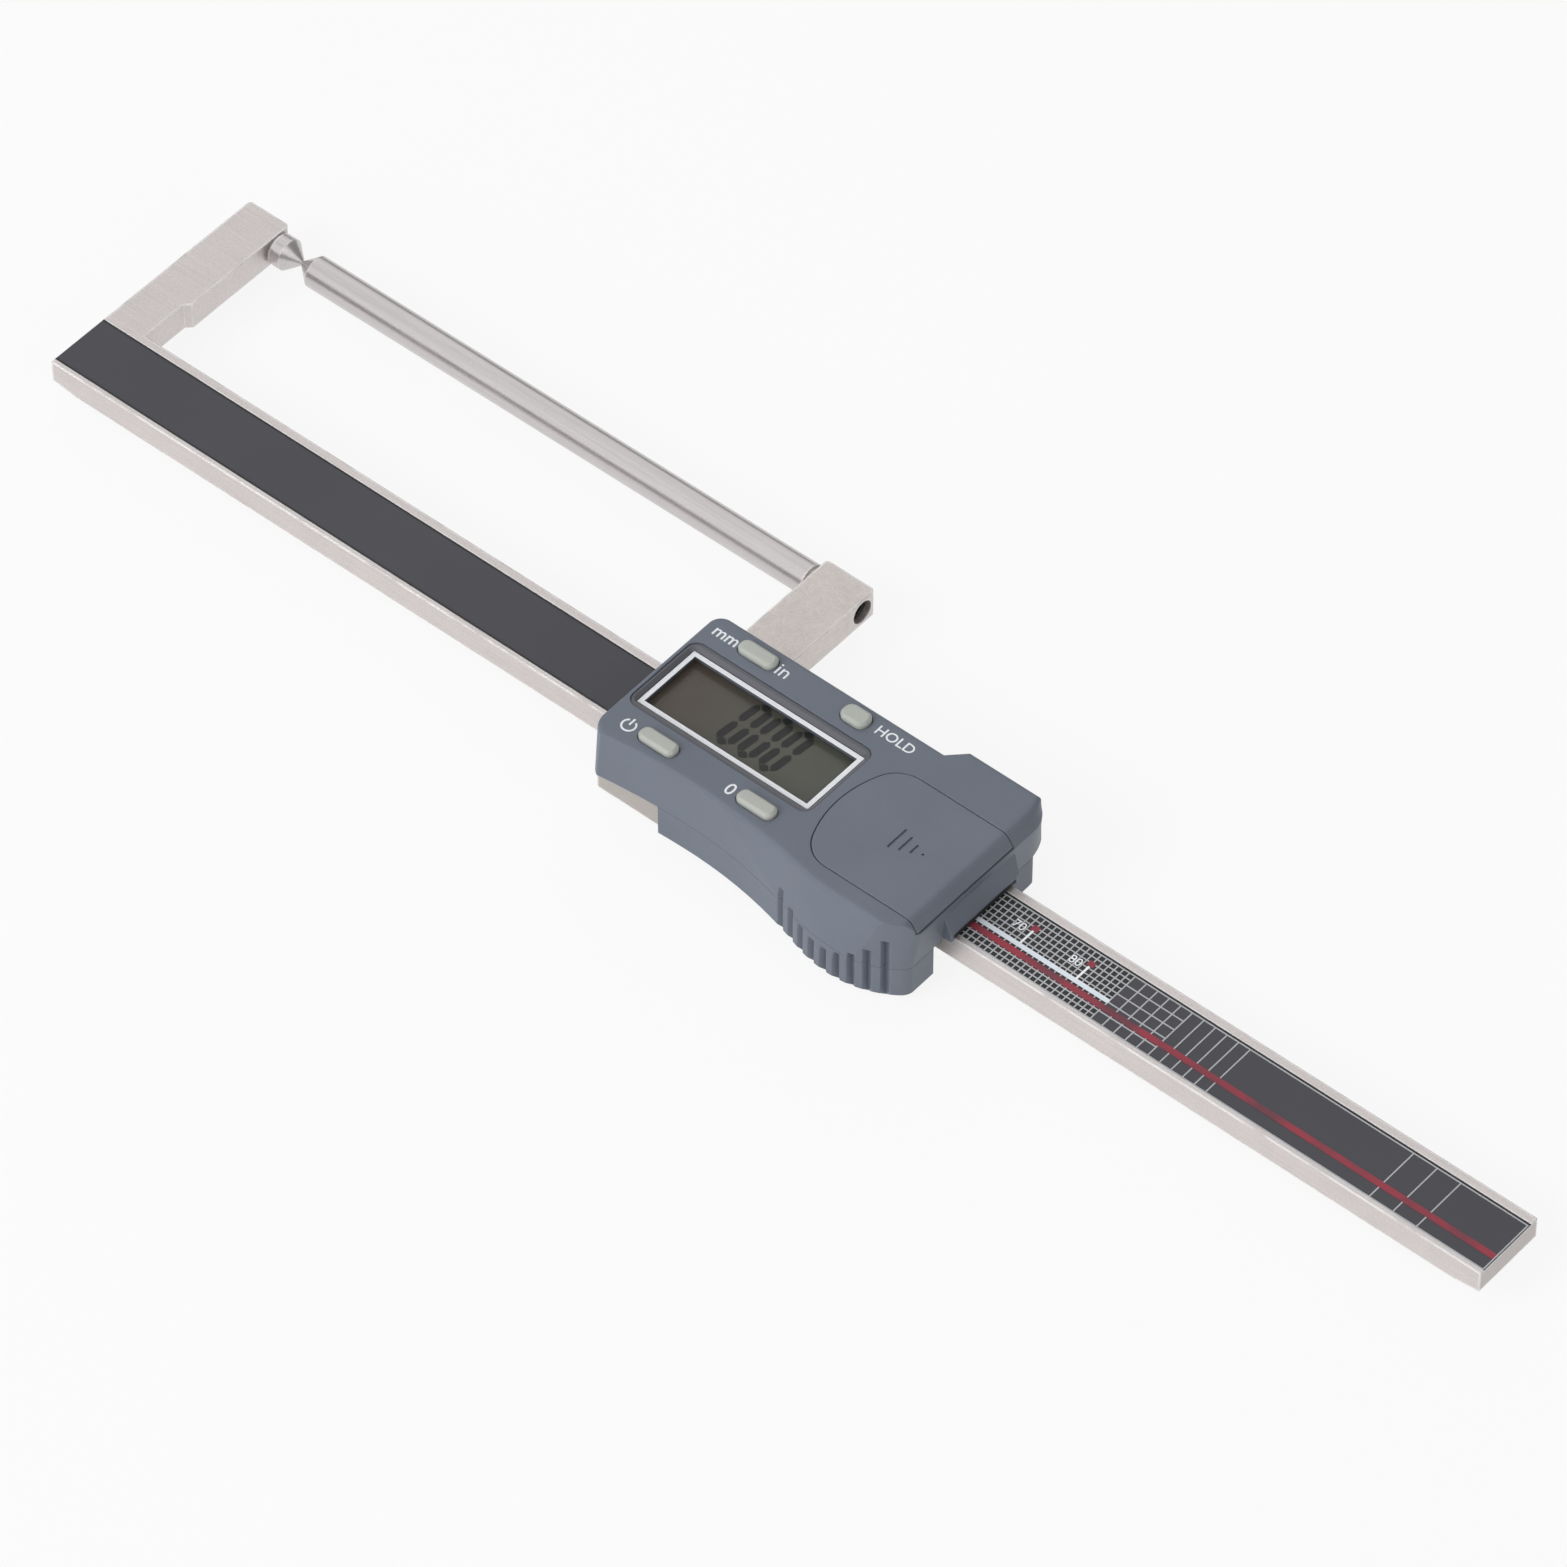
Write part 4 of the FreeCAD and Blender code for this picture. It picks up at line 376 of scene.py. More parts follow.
steel_beam = steel("satin_steel", colour(223, 216, 214), 0.46, ALONG, end_shade=END_SHADE_FROM)
steel_ground = steel("ground_steel", colour(213, 208, 208), 0.26, ALONG, 5e-7, 0.06, sandy=0.03)
steel_cast = steel("blasted_steel", colour(219, 212, 208), 0.52, EVEN, 12e-6, 0.16,
                   foot_shade=FOOT_SHADE_FROM)
steel_screw = steel("screw_steel", colour(186, 184, 180), 0.34, EVEN, 2e-6)
steel_black = steel("blackened_steel", colour(46, 46, 48), 0.42, EVEN, 4e-6)
steel_spring = steel("spring_steel", colour(196, 194, 188), 0.30, ALONG, 2e-6)
brass = steel("gib_brass", colour(214, 178, 108), 0.36, ALONG, 2e-6)
print("steels:", [m.name for m in (steel_beam, steel_ground, steel_cast, steel_screw,
                                   steel_black, steel_spring, brass)])

# %% [markdown]
# ## The moulded plastics
#
# The housing is a tough grey-blue plastic out of a spark-eroded mould. Its skin is
# a fine even grain that spreads the light. Its edges are a little shinier where fingers
# rub them, and paler there, partly from that wear and partly as a painted highlight. The
# buttons are a softer, pale grey rubber-like moulding. The same function makes both, with
# a coarser or a finer grain, and also the dark frame of the display, the wipers and the chip.

# %% Plastic
DRIFT_SIZE, DUST_SIZE, RUB_AND_HIGHLIGHT_SIZE = 0.012, 0.0009, 0.007


def moulded(name, shade, dull, grain=0.00022, depth=9e-6, edge=0.0003, dust_and_highlight_lift=1.28):
    """Grained plastic with dust, shinier along its edges from wear, and paler there from wear
    and a painted highlight.
    """
    finish = Finish(name)
    pits = finish.noise(grain, 2.0, 0.6)
    drift = finish.noise(DRIFT_SIZE, 3.0, 0.55)
    dust = finish.noise(DUST_SIZE, 1.0, 0.4).between(0.68, 0.80)
    # Painted highlight: the edges are made paler here, partly for wear and partly as light.
    rubbed_and_highlit = finish.edges(edge, 0.002, 0.05) * (0.45 + 0.55 * finish.noise(RUB_AND_HIGHLIGHT_SIZE))
    dust_and_highlight_colour = kin(shade, dust_and_highlight_lift)
    tone = (drift * 0.65 + pits * 0.35).between(0.32, 0.68)
    body = finish.blend(tone, kin(shade, 0.93), kin(shade, 1.07))
    dusted = finish.blend(dust * 0.10, body, dust_and_highlight_colour)
    coat = finish.blend(rubbed_and_highlit * 0.7, dusted, dust_and_highlight_colour)
    rough = dull + (drift - 0.5) * 0.10 + (pits - 0.5) * 0.10 - rubbed_and_highlit * 0.08
    normal = finish.bump(pits, depth, finish.soft_normal(edge))
    return finish.surface(Base_Color=coat, Roughness=rough, Normal=normal)


housing_plastic = moulded("housing_plastic", colour(103, 110, 122), 0.47)
lid_plastic = moulded("battery_lid_plastic", colour(105, 112, 124), 0.45)
# The last number is how much paler the dust and the painted edge highlight are.
button_plastic = moulded("button_moulding", colour(178, 181, 174), 0.42, 0.0003, 4e-6,
                         edge=0.0004, dust_and_highlight_lift=1.12)
bezel_plastic = moulded("bezel_plastic", colour(90, 91, 97), 0.38, 0.0003, 4e-6,
                        edge=0.00025, dust_and_highlight_lift=1.7)
rubber = moulded("wiper_rubber", colour(38, 38, 40), 0.68, 0.0004, 14e-6)
chip_plastic = moulded("chip_resin", colour(34, 34, 36), 0.5, 0.0002, 6e-6, 0.00015)
print("plastics:", [m.name for m in (housing_plastic, lid_plastic, button_plastic,
                                     bezel_plastic, rubber, chip_plastic)])

# %% [markdown]
# ## Print
#
# The scale is a thin printed label, dark with a satin lacquer over it. Ink from a
# screen is never quite even. The red ink is thinner than the others, so the dark ground
# shows through it in patches.

# %% Printed inks
SPECK_SIZE, SHEET_SIZE, PATCH_SIZE = 0.0004, 0.03, 0.007


def printed(name, shade, dull, ground=None):
    """Screen print with a slight unevenness in the ink. A ground shows through thin
    ink in patches a few millimetres long."""
    finish = Finish(name)
    ink = finish.noise(SPECK_SIZE, 3.0, 0.7)
    drift = finish.noise(SHEET_SIZE, 2.0, 0.5)
    tone = (ink * 0.5 + drift * 0.5).between(0.3, 0.7)
    body = finish.blend(tone, kin(shade, 0.88), kin(shade, 1.10))
    if ground is not None:
        patches = finish.noise(PATCH_SIZE, 3.0, 0.6).between(0.38, 0.66)
        body = finish.blend(patches * 0.7, body, ground)
    return finish.surface(Base_Color=body, Roughness=dull + (ink - 0.5) * 0.16,
                          Normal=finish.bump(ink, 2e-6))


label_print = printed("label_print", colour(64, 64, 71), 0.46)
ground_print = printed("ground_print", colour(34, 34, 37), 0.5)
pale_print = printed("pale_print", colour(178, 179, 182), 0.5)
white_print = printed("white_print", colour(236, 238, 242), 0.5)
red_print = printed("red_print", colour(152, 48, 64), 0.5, colour(78, 56, 66))
rule_print = printed("rule_print", colour(222, 228, 236), 0.5)
dark_digit = printed("dark_digit", colour(2, 4, 5), 0.35)
print("inks:", [m.name for m in (label_print, ground_print, pale_print, white_print,
                                 red_print, rule_print, dark_digit)])

# %% [markdown]
# ## Board, display and cell
#
# The circuit boards are green laminate. The display glass is an olive reflector behind
# glass, warmer towards its left end, and the window over it is a clear pane with a
# faint tint and a little dust. The coin cell is pressed steel with a soft haze. These
# four have little in common, so each has its own short function.

# %% Circuit board
def laminate(name, shade):
    """Circuit board: green lacquer over fine copper tracks."""
    finish = Finish(name)
    tracks = finish.node("ShaderNodeTexWave", {"wave_type": "BANDS", "bands_direction": "Y"},
                         {"Vector": finish.place, "Scale": 420.0, "Distortion": 2.0,
                          "Detail": 2.0}, "Fac").between(0.62, 0.70)
    body = finish.blend(tracks * 0.6, shade, kin(shade, 1.7))
    return finish.surface(Base_Color=body, Roughness=0.34 + tracks * 0.1,
                          Normal=finish.bump(tracks, 15e-6, finish.soft_normal(0.0001)))


board_laminate = laminate("board_laminate", colour(30, 84, 52))
print("board:", board_laminate.name)


# %% Display, pane and cell
WARM_LEFT, WARM_RIGHT = -0.024, 0.004


def display_glass(name):
    """The back of a crystal display: olive, and a warmer brown towards its left end."""
    finish = Finish(name)
    pearl = finish.noise(0.00025, 2.0, 0.6)
    drift = finish.noise(0.009, 2.0, 0.5)
    along = finish.node("ShaderNodeSeparateXYZ", {}, {"Vector": finish.place}, "X")
    olive = finish.blend((pearl * 0.4 + drift * 0.6).between(0.3, 0.7),
                         colour(72, 74, 64), colour(81, 83, 71))
    warmth = 1.0 - (along + drift * 0.012).between(WARM_LEFT, WARM_RIGHT)
    body = finish.blend(warmth, olive, colour(72, 57, 46))
    return finish.surface(Base_Color=body, Roughness=0.32 + pearl * 0.08, Coat_Weight=0.4,
                          Coat_Roughness=0.05)


def clear_pane(name):
    """A clear acrylic pane: mostly see-through, with a soft gloss and faint dust."""
    finish = Finish(name)
    dust = finish.noise(0.0006, 1.0, 0.4).between(0.70, 0.80)
    smear = finish.noise(0.010, 3.0, 0.6)
    return finish.surface(Base_Color=colour(60, 60, 54),
                          Roughness=0.07 + smear * 0.08 + dust * 0.2,
                          Alpha=0.07 + dust * 0.08, Coat_Weight=0.5)


def cell_steel(name):
    """The bright pressed case of a coin cell."""
    finish = Finish(name)
    haze = finish.noise(0.0040, 3.0, 0.6)
    body = finish.blend(haze.between(0.3, 0.7), colour(208, 208, 206), colour(218, 217, 214))
    return finish.surface(Base_Color=body, Metallic=0.9, Roughness=0.27 + haze * 0.08,
                          Normal=finish.bump(haze, 2e-6, finish.soft_normal(0.0002)))


display_back = display_glass("display_back")
window_pane = clear_pane("window_pane")
cell_case = cell_steel("cell_case")
print("display finishes:", display_back.name, window_pane.name, cell_case.name)

# %% [markdown]
# ## Each solid gets its finish
#
# A solid keeps its shape from the frame. Only the material in its slots changes.

# %% Assign the finishes
FINISHES = {
    "beam": steel_beam, "scale_circuit": board_laminate, "scale_label": label_print,
    "fixed_anvil": steel_ground, "end_stop": steel_cast, "end_stop_screws": steel_screw,
    "slider_frame": steel_cast, "measuring_rod": steel_ground, "rod_screw": steel_black,
    "gib_strip": brass, "gib_spring": steel_spring, "guide_plate": steel_spring,
    "guide_screws": steel_screw, "pickup_board": board_laminate, "circuit_board": board_laminate,
    "measuring_chip": chip_plastic, "lcd_glass": display_back, "lcd_connectors": rubber,
    "display_window": window_pane, "display_bezel": bezel_plastic, "snap_domes": steel_spring,
    "top_cover": housing_plastic, "grip_shell": housing_plastic, "cover_screws": steel_screw,
    "battery_cell": cell_case, "battery_spring": steel_spring,
    "battery_side_contact": steel_spring, "wiper_left": rubber, "wiper_right": rubber,
    "power_button": button_plastic, "zero_button": button_plastic, "unit_button": button_plastic,
    "hold_button": button_plastic, "battery_cover": lid_plastic,
}
for name, node in nodes.items():
    node.data.materials.clear()
    node.data.materials.append(FINISHES[name])
print("finished solids:", len(FINISHES), "of", len(nodes))

# %% [markdown]
# ## The printed scale
#
# Under the slider and to its right the label carries a fine grid of one millimetre
# squares on a dark ground, then a coarse one, then single strokes. Each is the same
# rule: so many strokes, so far apart. Python loops could lay them, but a Geometry Nodes
# tree keeps the rule in one place with named inputs for its sizes, and every row of
# strokes is the same tree with other numbers.

# %% The tree that rules strokes
def rule_tree():
    """A row of flat strokes: Count of them, Step apart, each of size Stroke."""
    tree = bpy.data.node_groups.new("ruled_strokes", "GeometryNodeTree")
    sockets = (("Count", "NodeSocketInt"), ("First", "NodeSocketVector"),
               ("Step", "NodeSocketVector"), ("Stroke", "NodeSocketVector"),
               ("Ink", "NodeSocketMaterial"))
    for name, kind in sockets:
        tree.interface.new_socket(name, in_out="INPUT", socket_type=kind)
    tree.interface.new_socket("Geometry", in_out="OUTPUT", socket_type="NodeSocketGeometry")
    given = tree.nodes.new("NodeGroupInput")
    line = tree.nodes.new("GeometryNodeMeshLine")
    line.mode = "OFFSET"
    stroke = tree.nodes.new("GeometryNodeMeshCube")
    spread = tree.nodes.new("GeometryNodeInstanceOnPoints")
    real = tree.nodes.new("GeometryNodeRealizeInstances")
    inked = tree.nodes.new("GeometryNodeSetMaterial")
    result = tree.nodes.new("NodeGroupOutput")
    join = tree.links.new
    join(given.outputs["Count"], line.inputs["Count"])
    join(given.outputs["First"], line.inputs["Start Location"])
    join(given.outputs["Step"], line.inputs["Offset"])
    join(given.outputs["Stroke"], stroke.inputs["Size"])
    join(line.outputs["Mesh"], spread.inputs["Points"])
    join(stroke.outputs["Mesh"], spread.inputs["Instance"])
    join(spread.outputs["Instances"], real.inputs["Geometry"])
    join(real.outputs["Geometry"], inked.inputs["Geometry"])
    join(given.outputs["Ink"], inked.inputs["Material"])
    join(inked.outputs["Geometry"], result.inputs["Geometry"])
    return tree


RULER = rule_tree()
print("ruling tree:", RULER.name, "with", len(RULER.nodes), "nodes")

# %% [markdown]
# The tree works through a modifier on an empty object. The modifier's inputs go by each
# socket's identifier. Its result is copied into a plain mesh, and the object goes, so
# that nothing live is left.

# %% From the tree to a plain mesh
def plain_mesh(thing, name):
    """The mesh that a thing's modifiers or curves give, on its own."""
    graph = bpy.context.evaluated_depsgraph_get()
    mesh = bpy.data.meshes.new_from_object(thing.evaluated_get(graph), depsgraph=graph)
    mesh.name = name
    return mesh


def ruled(name, count, first, step, stroke, ink):
    """A mesh of strokes. First, step and stroke are in millimetres."""
    thing = bpy.data.objects.new(name, bpy.data.meshes.new("empty"))
    bpy.context.scene.collection.objects.link(thing)
    live = thing.modifiers.new("strokes", "NODES")
    live.node_group = RULER
    given = {"Count": count, "First": Vector(first) * MM, "Step": Vector(step) * MM,
             "Stroke": Vector(stroke) * MM, "Ink": ink}
    for socket in RULER.interface.items_tree:
        if socket.in_out == "INPUT":
            live[socket.identifier] = given[socket.name]
    mesh = plain_mesh(thing, name)
    bpy.data.objects.remove(thing)
    return mesh


print("row of strokes ready, sizes in mm")

# %% [markdown]
# A printed line has almost no height. Here it stands three hundredths of a millimetre
# on the label, which is enough to keep the two surfaces apart in the render. Several
# meshes become one piece that rides on one body. Where two colours cross, each lies a
# hair above the last, or their faces would flicker.

# %% Join meshes into a piece
INK = 0.03
LAYER = 0.004
LABEL_LOW, LABEL_HIGH = [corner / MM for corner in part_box("scale_label")]


def layer(number):
    """The height of a print layer's middle, in millimetres."""
    return LABEL_HIGH.z + INK / 2 + LAYER * number


def piece_of(name, meshes, body):
    """One piece from several meshes, riding on a body."""
    joined = bmesh.new()
    inks = []
    for mesh in meshes:
        for ink in mesh.materials:
            if ink not in inks:
                inks.append(ink)
        start = len(joined.faces)
        joined.from_mesh(mesh)
        joined.faces.ensure_lookup_table()
        for face in joined.faces[start:]:
            face.material_index = inks.index(mesh.materials[face.material_index])
    mesh = bpy.data.meshes.new(name)
    joined.to_mesh(mesh)
    joined.free()
    for ink in inks:
        mesh.materials.append(ink)
    piece = bpy.data.objects.new(name, mesh)
    bpy.context.scene.collection.objects.link(piece)
    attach(piece, body)
    return piece


print("label top at", round(LABEL_HIGH.z, 2), "mm, ink", INK, "mm high")

# %% [markdown]
# The fine grid has a line each millimetre, both ways, on a black ground. To its right
# come wider squares, then strokes without rows, and three single strokes near the end.
# A thin border runs round all of it.

# %% The fine and the coarse grid
FINE_FIRST, FINE_LAST = -27.5, 54.5
GRID_FAR, GRID_NEAR = 4.45, -5.45
ROW_STEP = -1.0
FINE_ROWS = 9
COARSE_STEP = 2.03
COARSE_COUNT = 10
COARSE_ROWS = 4
COARSE_ROWS_END = FINE_LAST + COARSE_STEP * 5
END_COUNT, END_FIRST, END_STEP = 3, 103.2, 4.05
BORDER_END, BORDER_INSET = 122.8, 0.1
LINE = 0.21


def bar(name, x_low, x_high, y_low, y_high, ink, level):
    """One broad printed rule."""
    return ruled(name, 1, ((x_low + x_high) / 2, (y_low + y_high) / 2, layer(level)), (1, 0, 0),
                 (x_high - x_low, y_high - y_low, INK), ink)


def strokes_along(name, count, x, step):
    """Strokes across the label, standing side by side along the beam."""
    return ruled(name, count, (x, (GRID_FAR + GRID_NEAR) / 2, layer(2)), (step, 0, 0),
                 (LINE, GRID_FAR - GRID_NEAR, INK), pale_print)


def strokes_across(name, count, x_low, x_high, y, step):
    """Strokes along the beam, stacked side by side across the label."""
    return ruled(name, count, ((x_low + x_high) / 2, y, layer(1)), (0, step, 0),
                 (x_high - x_low, LINE, INK), pale_print)


fine_count = int(FINE_LAST - FINE_FIRST) + 1
grid = [
    bar("fine_ground", FINE_FIRST, FINE_LAST, GRID_NEAR, GRID_FAR, ground_print, 0),
    strokes_along("fine_columns", fine_count, FINE_FIRST, 1.0),
    strokes_across("fine_rows", FINE_ROWS, FINE_FIRST, FINE_LAST, GRID_FAR + ROW_STEP, ROW_STEP),
    strokes_along("coarse_columns", COARSE_COUNT, FINE_LAST + COARSE_STEP, COARSE_STEP),
    strokes_across("coarse_rows", COARSE_ROWS, FINE_LAST, COARSE_ROWS_END,
                   GRID_FAR + 2 * ROW_STEP, 2 * ROW_STEP),
    strokes_along("end_strokes", END_COUNT, END_FIRST, END_STEP),
    strokes_across("borders", 2, FINE_FIRST, BORDER_END, GRID_FAR, GRID_NEAR - GRID_FAR),
    strokes_along("right_border", 1, BORDER_END - BORDER_INSET, 1.0),
]
print("grid meshes:", len(grid), "strokes in the fine grid:", fine_count)

# %% [markdown]
# The label lies in a shallow bed, so a dark line of shade runs along its edges. That
# shade is painted: dark bars of the ground ink along the far edge, and along the near edge
# left of the grid.

# %% The dark edges of the label
SHADE_WIDTH = 0.28
FAR_SHADE = LABEL_HIGH.y - SHADE_WIDTH
NEAR_SHADE = LABEL_LOW.y + SHADE_WIDTH
rims = [
    bar("far_shade", LABEL_LOW.x, LABEL_HIGH.x, FAR_SHADE, LABEL_HIGH.y, ground_print, 0),
    bar("near_shade", LABEL_LOW.x, FINE_FIRST, LABEL_LOW.y, NEAR_SHADE, ground_print, 0),
]
print("dark edges:", [mesh.name for mesh in rims])

# %% [markdown]
# A red line runs the length of the scale, and a broad white one beside it as far as the
# fine grid goes. Each ten millimetres has a white stroke with a red dot at its
# head. The number stands to the left of its stroke.

# %% Coloured rules and the tens
TEN_COUNT = 8
TEN_STEP = 10.0
FIRST_TEN = -21.5
WHITE_NEAR, WHITE_FAR = -1.83, -1.05
RED_NEAR, RED_FAR = -3.28, -2.20
RED_END = 122.6
STROKE_WIDTH, STROKE_LENGTH = 0.36, 3.0
DOT_WIDTH, DOT_LENGTH = 1.15, 1.05

stroke_middle = WHITE_FAR + STROKE_LENGTH / 2 - LINE / 2
dot_middle = WHITE_FAR + STROKE_LENGTH + DOT_LENGTH / 2 - LINE
rules = [
    bar("red_rule", FINE_FIRST, RED_END, RED_NEAR, RED_FAR, red_print, 3),
    bar("white_rule", FINE_FIRST, FINE_LAST + LINE / 2, WHITE_NEAR, WHITE_FAR, rule_print, 3),
    ruled("ten_strokes", TEN_COUNT, (FIRST_TEN, stroke_middle, layer(4)), (TEN_STEP, 0, 0),
          (STROKE_WIDTH, STROKE_LENGTH, INK), white_print),
    ruled("ten_dots", TEN_COUNT, (FIRST_TEN, dot_middle, layer(5)), (TEN_STEP, 0, 0),
          (DOT_WIDTH, DOT_LENGTH, INK), red_print),
]
print("rules:", [mesh.name for mesh in rules])

# %% [markdown]
# ## Numbers and legends
#
# The numbers on the scale and the words by the buttons are screen printed. Blender's
# own plain letter shape serves for them. A text object is a curve, so it is made a
# mesh before it is put in place, and its place goes into the mesh.

# %% Text as a mesh
CURVE_STEPS = 4


def words(text, middle, height, ink, bold=0.0):
    """A word as a flat mesh. Middle and height are in millimetres, and bold swells the
    letters by a share of their size."""
    curve = bpy.data.curves.new("legend", "FONT")
    curve.body = text
    curve.size = 1.0
    curve.extrude = 0.5
    curve.offset = bold
    curve.align_x = "CENTER"
    curve.align_y = "CENTER"
    curve.resolution_u = CURVE_STEPS
    thing = bpy.data.objects.new("legend", curve)
    bpy.context.scene.collection.objects.link(thing)
    mesh = plain_mesh(thing, "legend")
    bpy.data.objects.remove(thing)
    low = [min(v.co[i] for v in mesh.vertices) for i in range(3)]
    high = [max(v.co[i] for v in mesh.vertices) for i in range(3)]
    size = height / (high[1] - low[1])
    centre = Vector([(a + b) / 2 for a, b in zip(low, high)])
    mesh.transform(Matrix.Translation(-centre))
    mesh.transform(Matrix.Diagonal((size, size, INK, 1.0)))
    mesh.transform(Matrix.Translation(Vector(middle)))
    mesh.transform(Matrix.Scale(MM, 4))
    mesh.materials.clear()
    mesh.materials.append(ink)
    return mesh


NUMBER_BACK, NUMBER_Y, NUMBER_HEIGHT = 2.1, 1.4, 1.45

numbers = [words(str(10 * (index + 1)),
                 (FIRST_TEN + TEN_STEP * index - NUMBER_BACK, NUMBER_Y, layer(6)),
                 NUMBER_HEIGHT, white_print) for index in range(TEN_COUNT)]
scale_print = piece_of("scale_print", grid + rims + rules + numbers, "beam")
print("scale print:", len(scale_print.data.polygons), "faces")

# %% [markdown]
# The power mark is not a letter, so it is drawn: a ring of small flat faces that stops
# short of a full turn, and a bar in the gap. The flat faces are then extruded to the
# height of the ink.

# %% A ring with a bar
RING_SIDES = 40
RING_OPENING = math.radians(62)
POST_FOOT, POST_RISE = 0.1, 0.35


def inked_mesh(shape, name, ink):
    """A mesh of one ink from a shape, with its faces pointing outwards."""
    bmesh.ops.recalc_face_normals(shape, faces=shape.faces)
    mesh = bpy.data.meshes.new(name)
    shape.to_mesh(mesh)
    shape.free()
    mesh.materials.append(ink)
    return mesh


def power_mark(middle, radius, width, ink):
    """A ring, open at the top, with a bar in the gap."""
    shape = bmesh.new()
    rim = []
    for index in range(RING_SIDES + 1):
        gone = (2 * math.pi - RING_OPENING) * index / RING_SIDES
        turn = math.pi / 2 + RING_OPENING / 2 + gone
        rim.append([shape.verts.new((middle[0] + (radius + side) * math.cos(turn),
                                     middle[1] + (radius + side) * math.sin(turn),
                                     middle[2])) for side in (-width / 2, width / 2)])
    for (a, b), (c, d) in zip(rim, rim[1:]):
        shape.faces.new((a, b, d, c))
    foot, head = POST_FOOT, radius + POST_RISE
    post = [shape.verts.new((middle[0] + x, middle[1] + y, middle[2]))
            for x, y in ((-width / 2, foot), (width / 2, foot), (width / 2, head),
                         (-width / 2, head))]
    shape.faces.new(post)
    bmesh.ops.recalc_face_normals(shape, faces=shape.faces)
    raised = bmesh.ops.extrude_face_region(shape, geom=shape.faces[:])
    moved = [part for part in raised["geom"] if isinstance(part, bmesh.types.BMVert)]
    bmesh.ops.translate(shape, verts=moved, vec=(0, 0, INK))
    bmesh.ops.scale(shape, vec=(MM, MM, MM), verts=shape.verts)
    return inked_mesh(shape, "power_mark", ink)


print("ring sides:", RING_SIDES)

# %% [markdown]
# Each legend lies on the cover's top, beside its button: the two units at the ends of
# one button, and a word, a nought and the power mark by the other three.

# %% Legends on the cover
COVER_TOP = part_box("top_cover")[1].z / MM
LEGEND_GAP = 0.005
ON_COVER = COVER_TOP + LEGEND_GAP

legends = [
    words("mm", (-24.9, 10.45, ON_COVER), 1.4, white_print, bold=0.012),
    words("in", (-14.5, 10.8, ON_COVER), 2.1, white_print),
    words("HOLD", (5.8, 11.1, ON_COVER), 1.75, white_print, bold=0.008),
    words("0", (-5.9, -10.75, ON_COVER), 2.15, white_print, bold=0.008),
    power_mark((-24.5, -10.9, ON_COVER), 1.06, 0.30, white_print),
]
cover_print = piece_of("cover_print", legends, "slider")
print("legends:", len(cover_print.data.polygons), "faces at", round(ON_COVER, 2), "mm")

# %% [markdown]
# ## The display
#
# Each digit of a crystal display is seven bars with pointed ends, and leans a little to
# the right. Here it reads three zeros, so the middle bar of each is off. The bars are
# worked out from the digit's corners, so a change of one size moves them all.

# %% Pointed bars
BAR_CORNERS = 6


def segment_mesh(name, bars, width, height, thick, ink):
    """Flat pointed bars, each from one point to another."""
    shape = bmesh.new()
    for start, end in bars:
        start, end = Vector(start), Vector(end)
        along = (end - start).normalized() * width / 2
        side = Vector((-along.y, along.x))
        outline = [start, start + along + side, end - along + side, end,
                   end - along - side, start + along - side]
        low = [shape.verts.new((p.x * MM, p.y * MM, height * MM)) for p in outline]
        high = [shape.verts.new((p.x * MM, p.y * MM, (height + thick) * MM)) for p in outline]
        shape.faces.new(high)
        shape.faces.new(low[::-1])
        for index in range(BAR_CORNERS):
            after = (index + 1) % BAR_CORNERS
            shape.faces.new((low[index], low[after], high[after], high[index]))
    return inked_mesh(shape, name, ink)


print("corners of a bar:", BAR_CORNERS)

# %% Three digits
DISPLAY_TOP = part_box("lcd_glass")[1].z / MM
DIGIT_COUNT = 3
DIGIT_GAP, DIGIT_THICK = 0.004, 0.02
DIGIT_LOW, DIGIT_HIGH = -3.35, 5.35
DIGIT_WIDTH = 2.1
DIGIT_STEP = 3.89
FIRST_DIGIT = -14.62
BAR_WIDTH = 1.26
BAR_GAP = 0.12
LEAN = 0.105


def leaned(x, y):
    """A point of an upright digit, moved sideways as the digits lean."""
    return (x + y * LEAN, y)


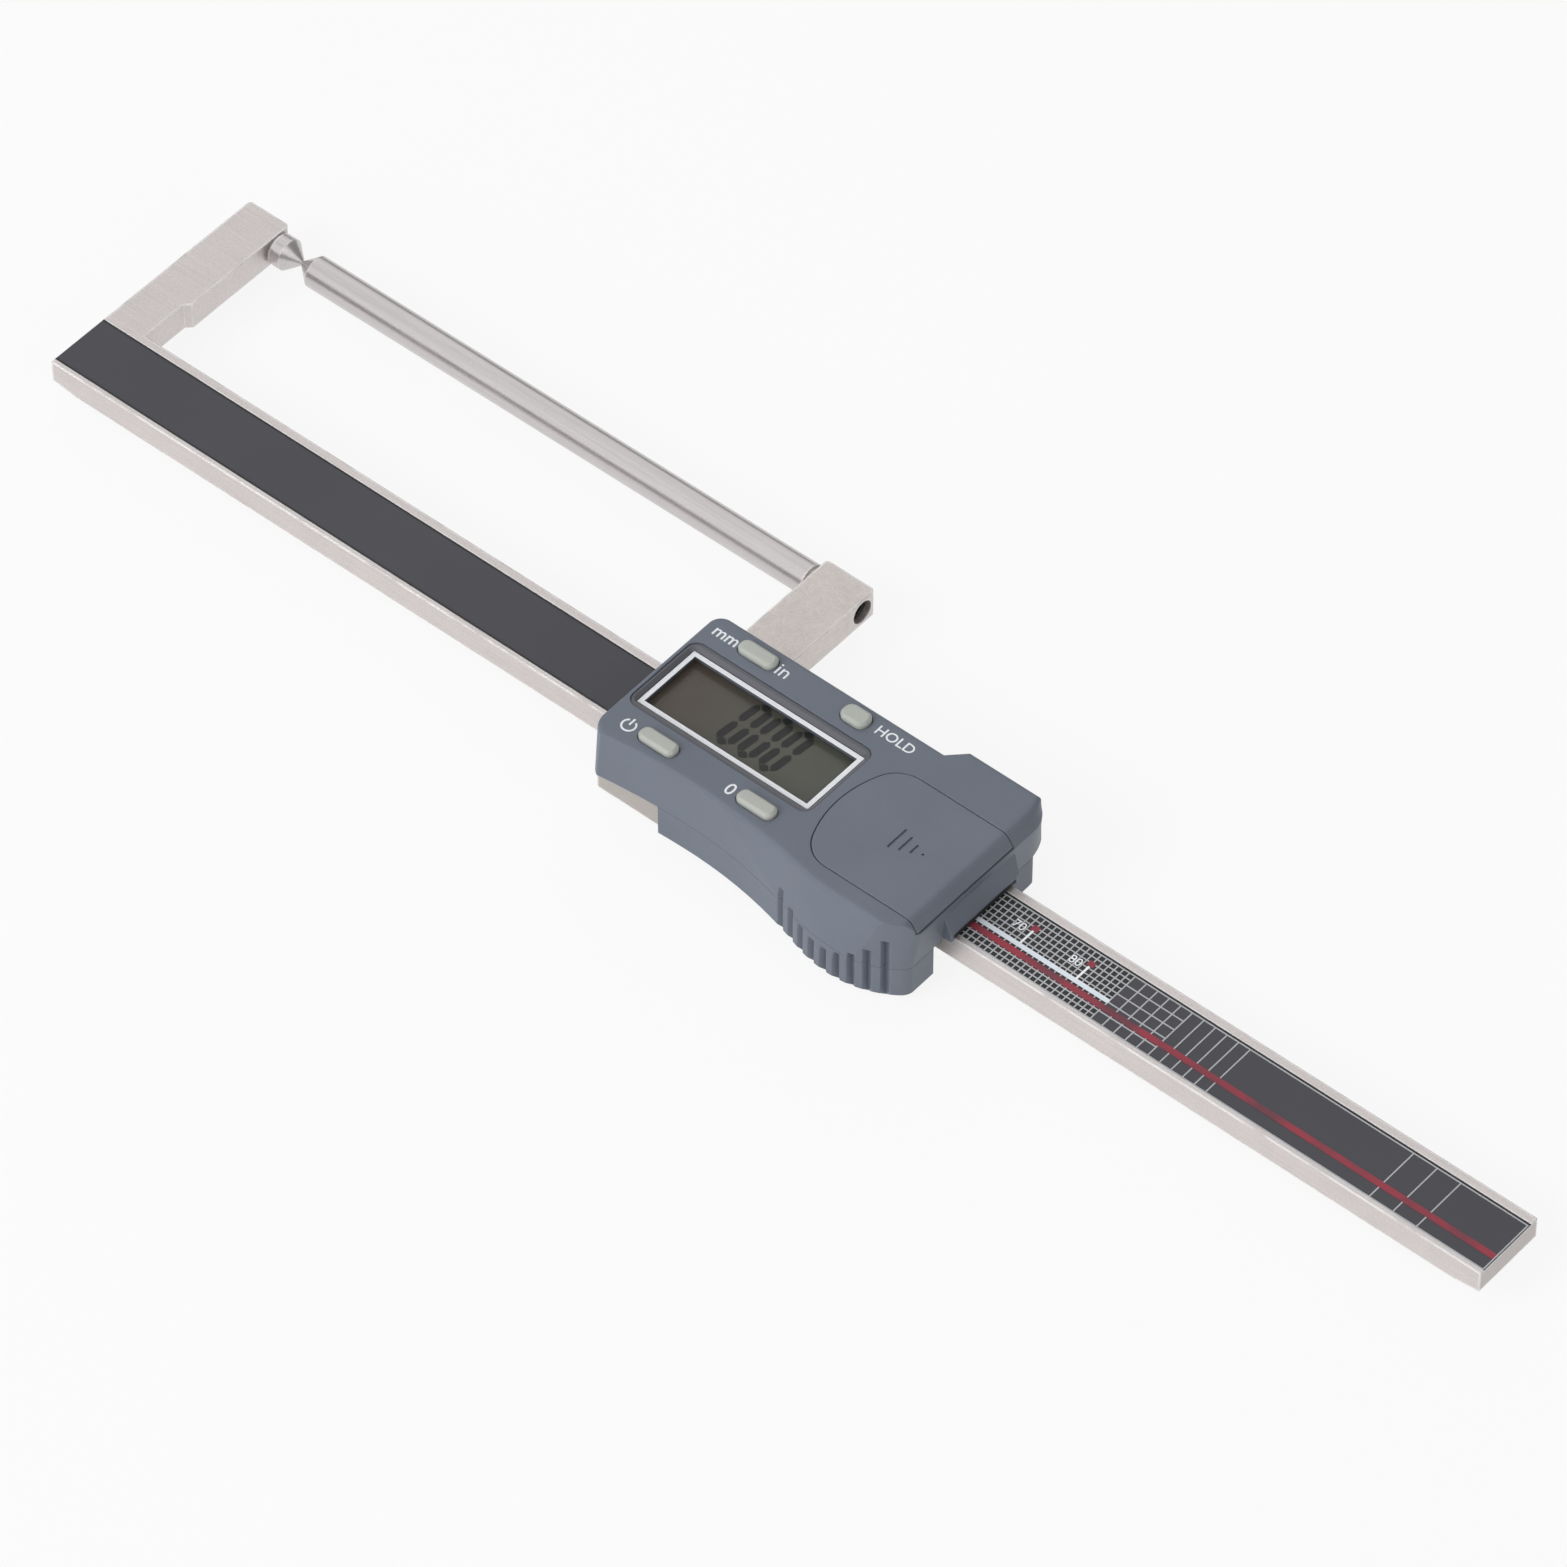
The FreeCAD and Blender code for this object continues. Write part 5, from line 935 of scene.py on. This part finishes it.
digit_bars = []
for number in range(DIGIT_COUNT):
    left = FIRST_DIGIT + DIGIT_STEP * number
    right = left + DIGIT_WIDTH
    middle = (DIGIT_LOW + DIGIT_HIGH) / 2
    for x in (left, right):
        digit_bars += [(leaned(x, DIGIT_LOW + BAR_GAP), leaned(x, middle - BAR_GAP)),
                       (leaned(x, middle + BAR_GAP), leaned(x, DIGIT_HIGH - BAR_GAP))]
    for y in (DIGIT_LOW, DIGIT_HIGH):
        digit_bars.append((leaned(left + BAR_GAP, y), leaned(right - BAR_GAP, y)))
dark_bars = segment_mesh("digits", digit_bars, BAR_WIDTH, DISPLAY_TOP + DIGIT_GAP,
                         DIGIT_THICK, dark_digit)
digits = piece_of("display_digits", [dark_bars], "slider")
print("digit bars:", len(digit_bars), "with", len(digits.data.polygons), "faces")

# %% [markdown]
# A white line is printed on the window, just inside its edge. Its corners are mitred:
# four rings of corner points, two outside and two inside, are joined into a closed
# frame.

# %% The white line round the window
WINDOW_LOW, WINDOW_HIGH = [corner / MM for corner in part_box("display_window")]
WHITE_WIDTH = 0.74
WHITE_INSET = 0.05
WHITE_GAP = 0.002


def frame_line(name, left, right, near, far, width, height, ink):
    """A flat rectangular line with mitred corners."""
    shape = bmesh.new()
    rings = []
    for inset in (0.0, width):
        for level in (height, height + INK):
            rings.append([shape.verts.new((x * MM, y * MM, level * MM)) for x, y in (
                (left + inset, near + inset), (right - inset, near + inset),
                (right - inset, far - inset), (left + inset, far - inset))])
    outer_low, outer_high, inner_low, inner_high = rings
    for first, second in ((outer_low, outer_high), (outer_high, inner_high),
                          (inner_high, inner_low), (inner_low, outer_low)):
        for index in range(4):
            after = (index + 1) % 4
            shape.faces.new((first[index], first[after], second[after], second[index]))
    return inked_mesh(shape, name, ink)


white_frame = frame_line("window_line",
                         WINDOW_LOW.x + WHITE_INSET, WINDOW_HIGH.x - WHITE_INSET,
                         WINDOW_LOW.y + WHITE_INSET, WINDOW_HIGH.y - WHITE_INSET,
                         WHITE_WIDTH, WINDOW_HIGH.z + WHITE_GAP, white_print)
window_line = piece_of("window_line", [white_frame], "slider")
print("window line:", [round(side, 2) for side in window_line.dimensions / MM], "mm")
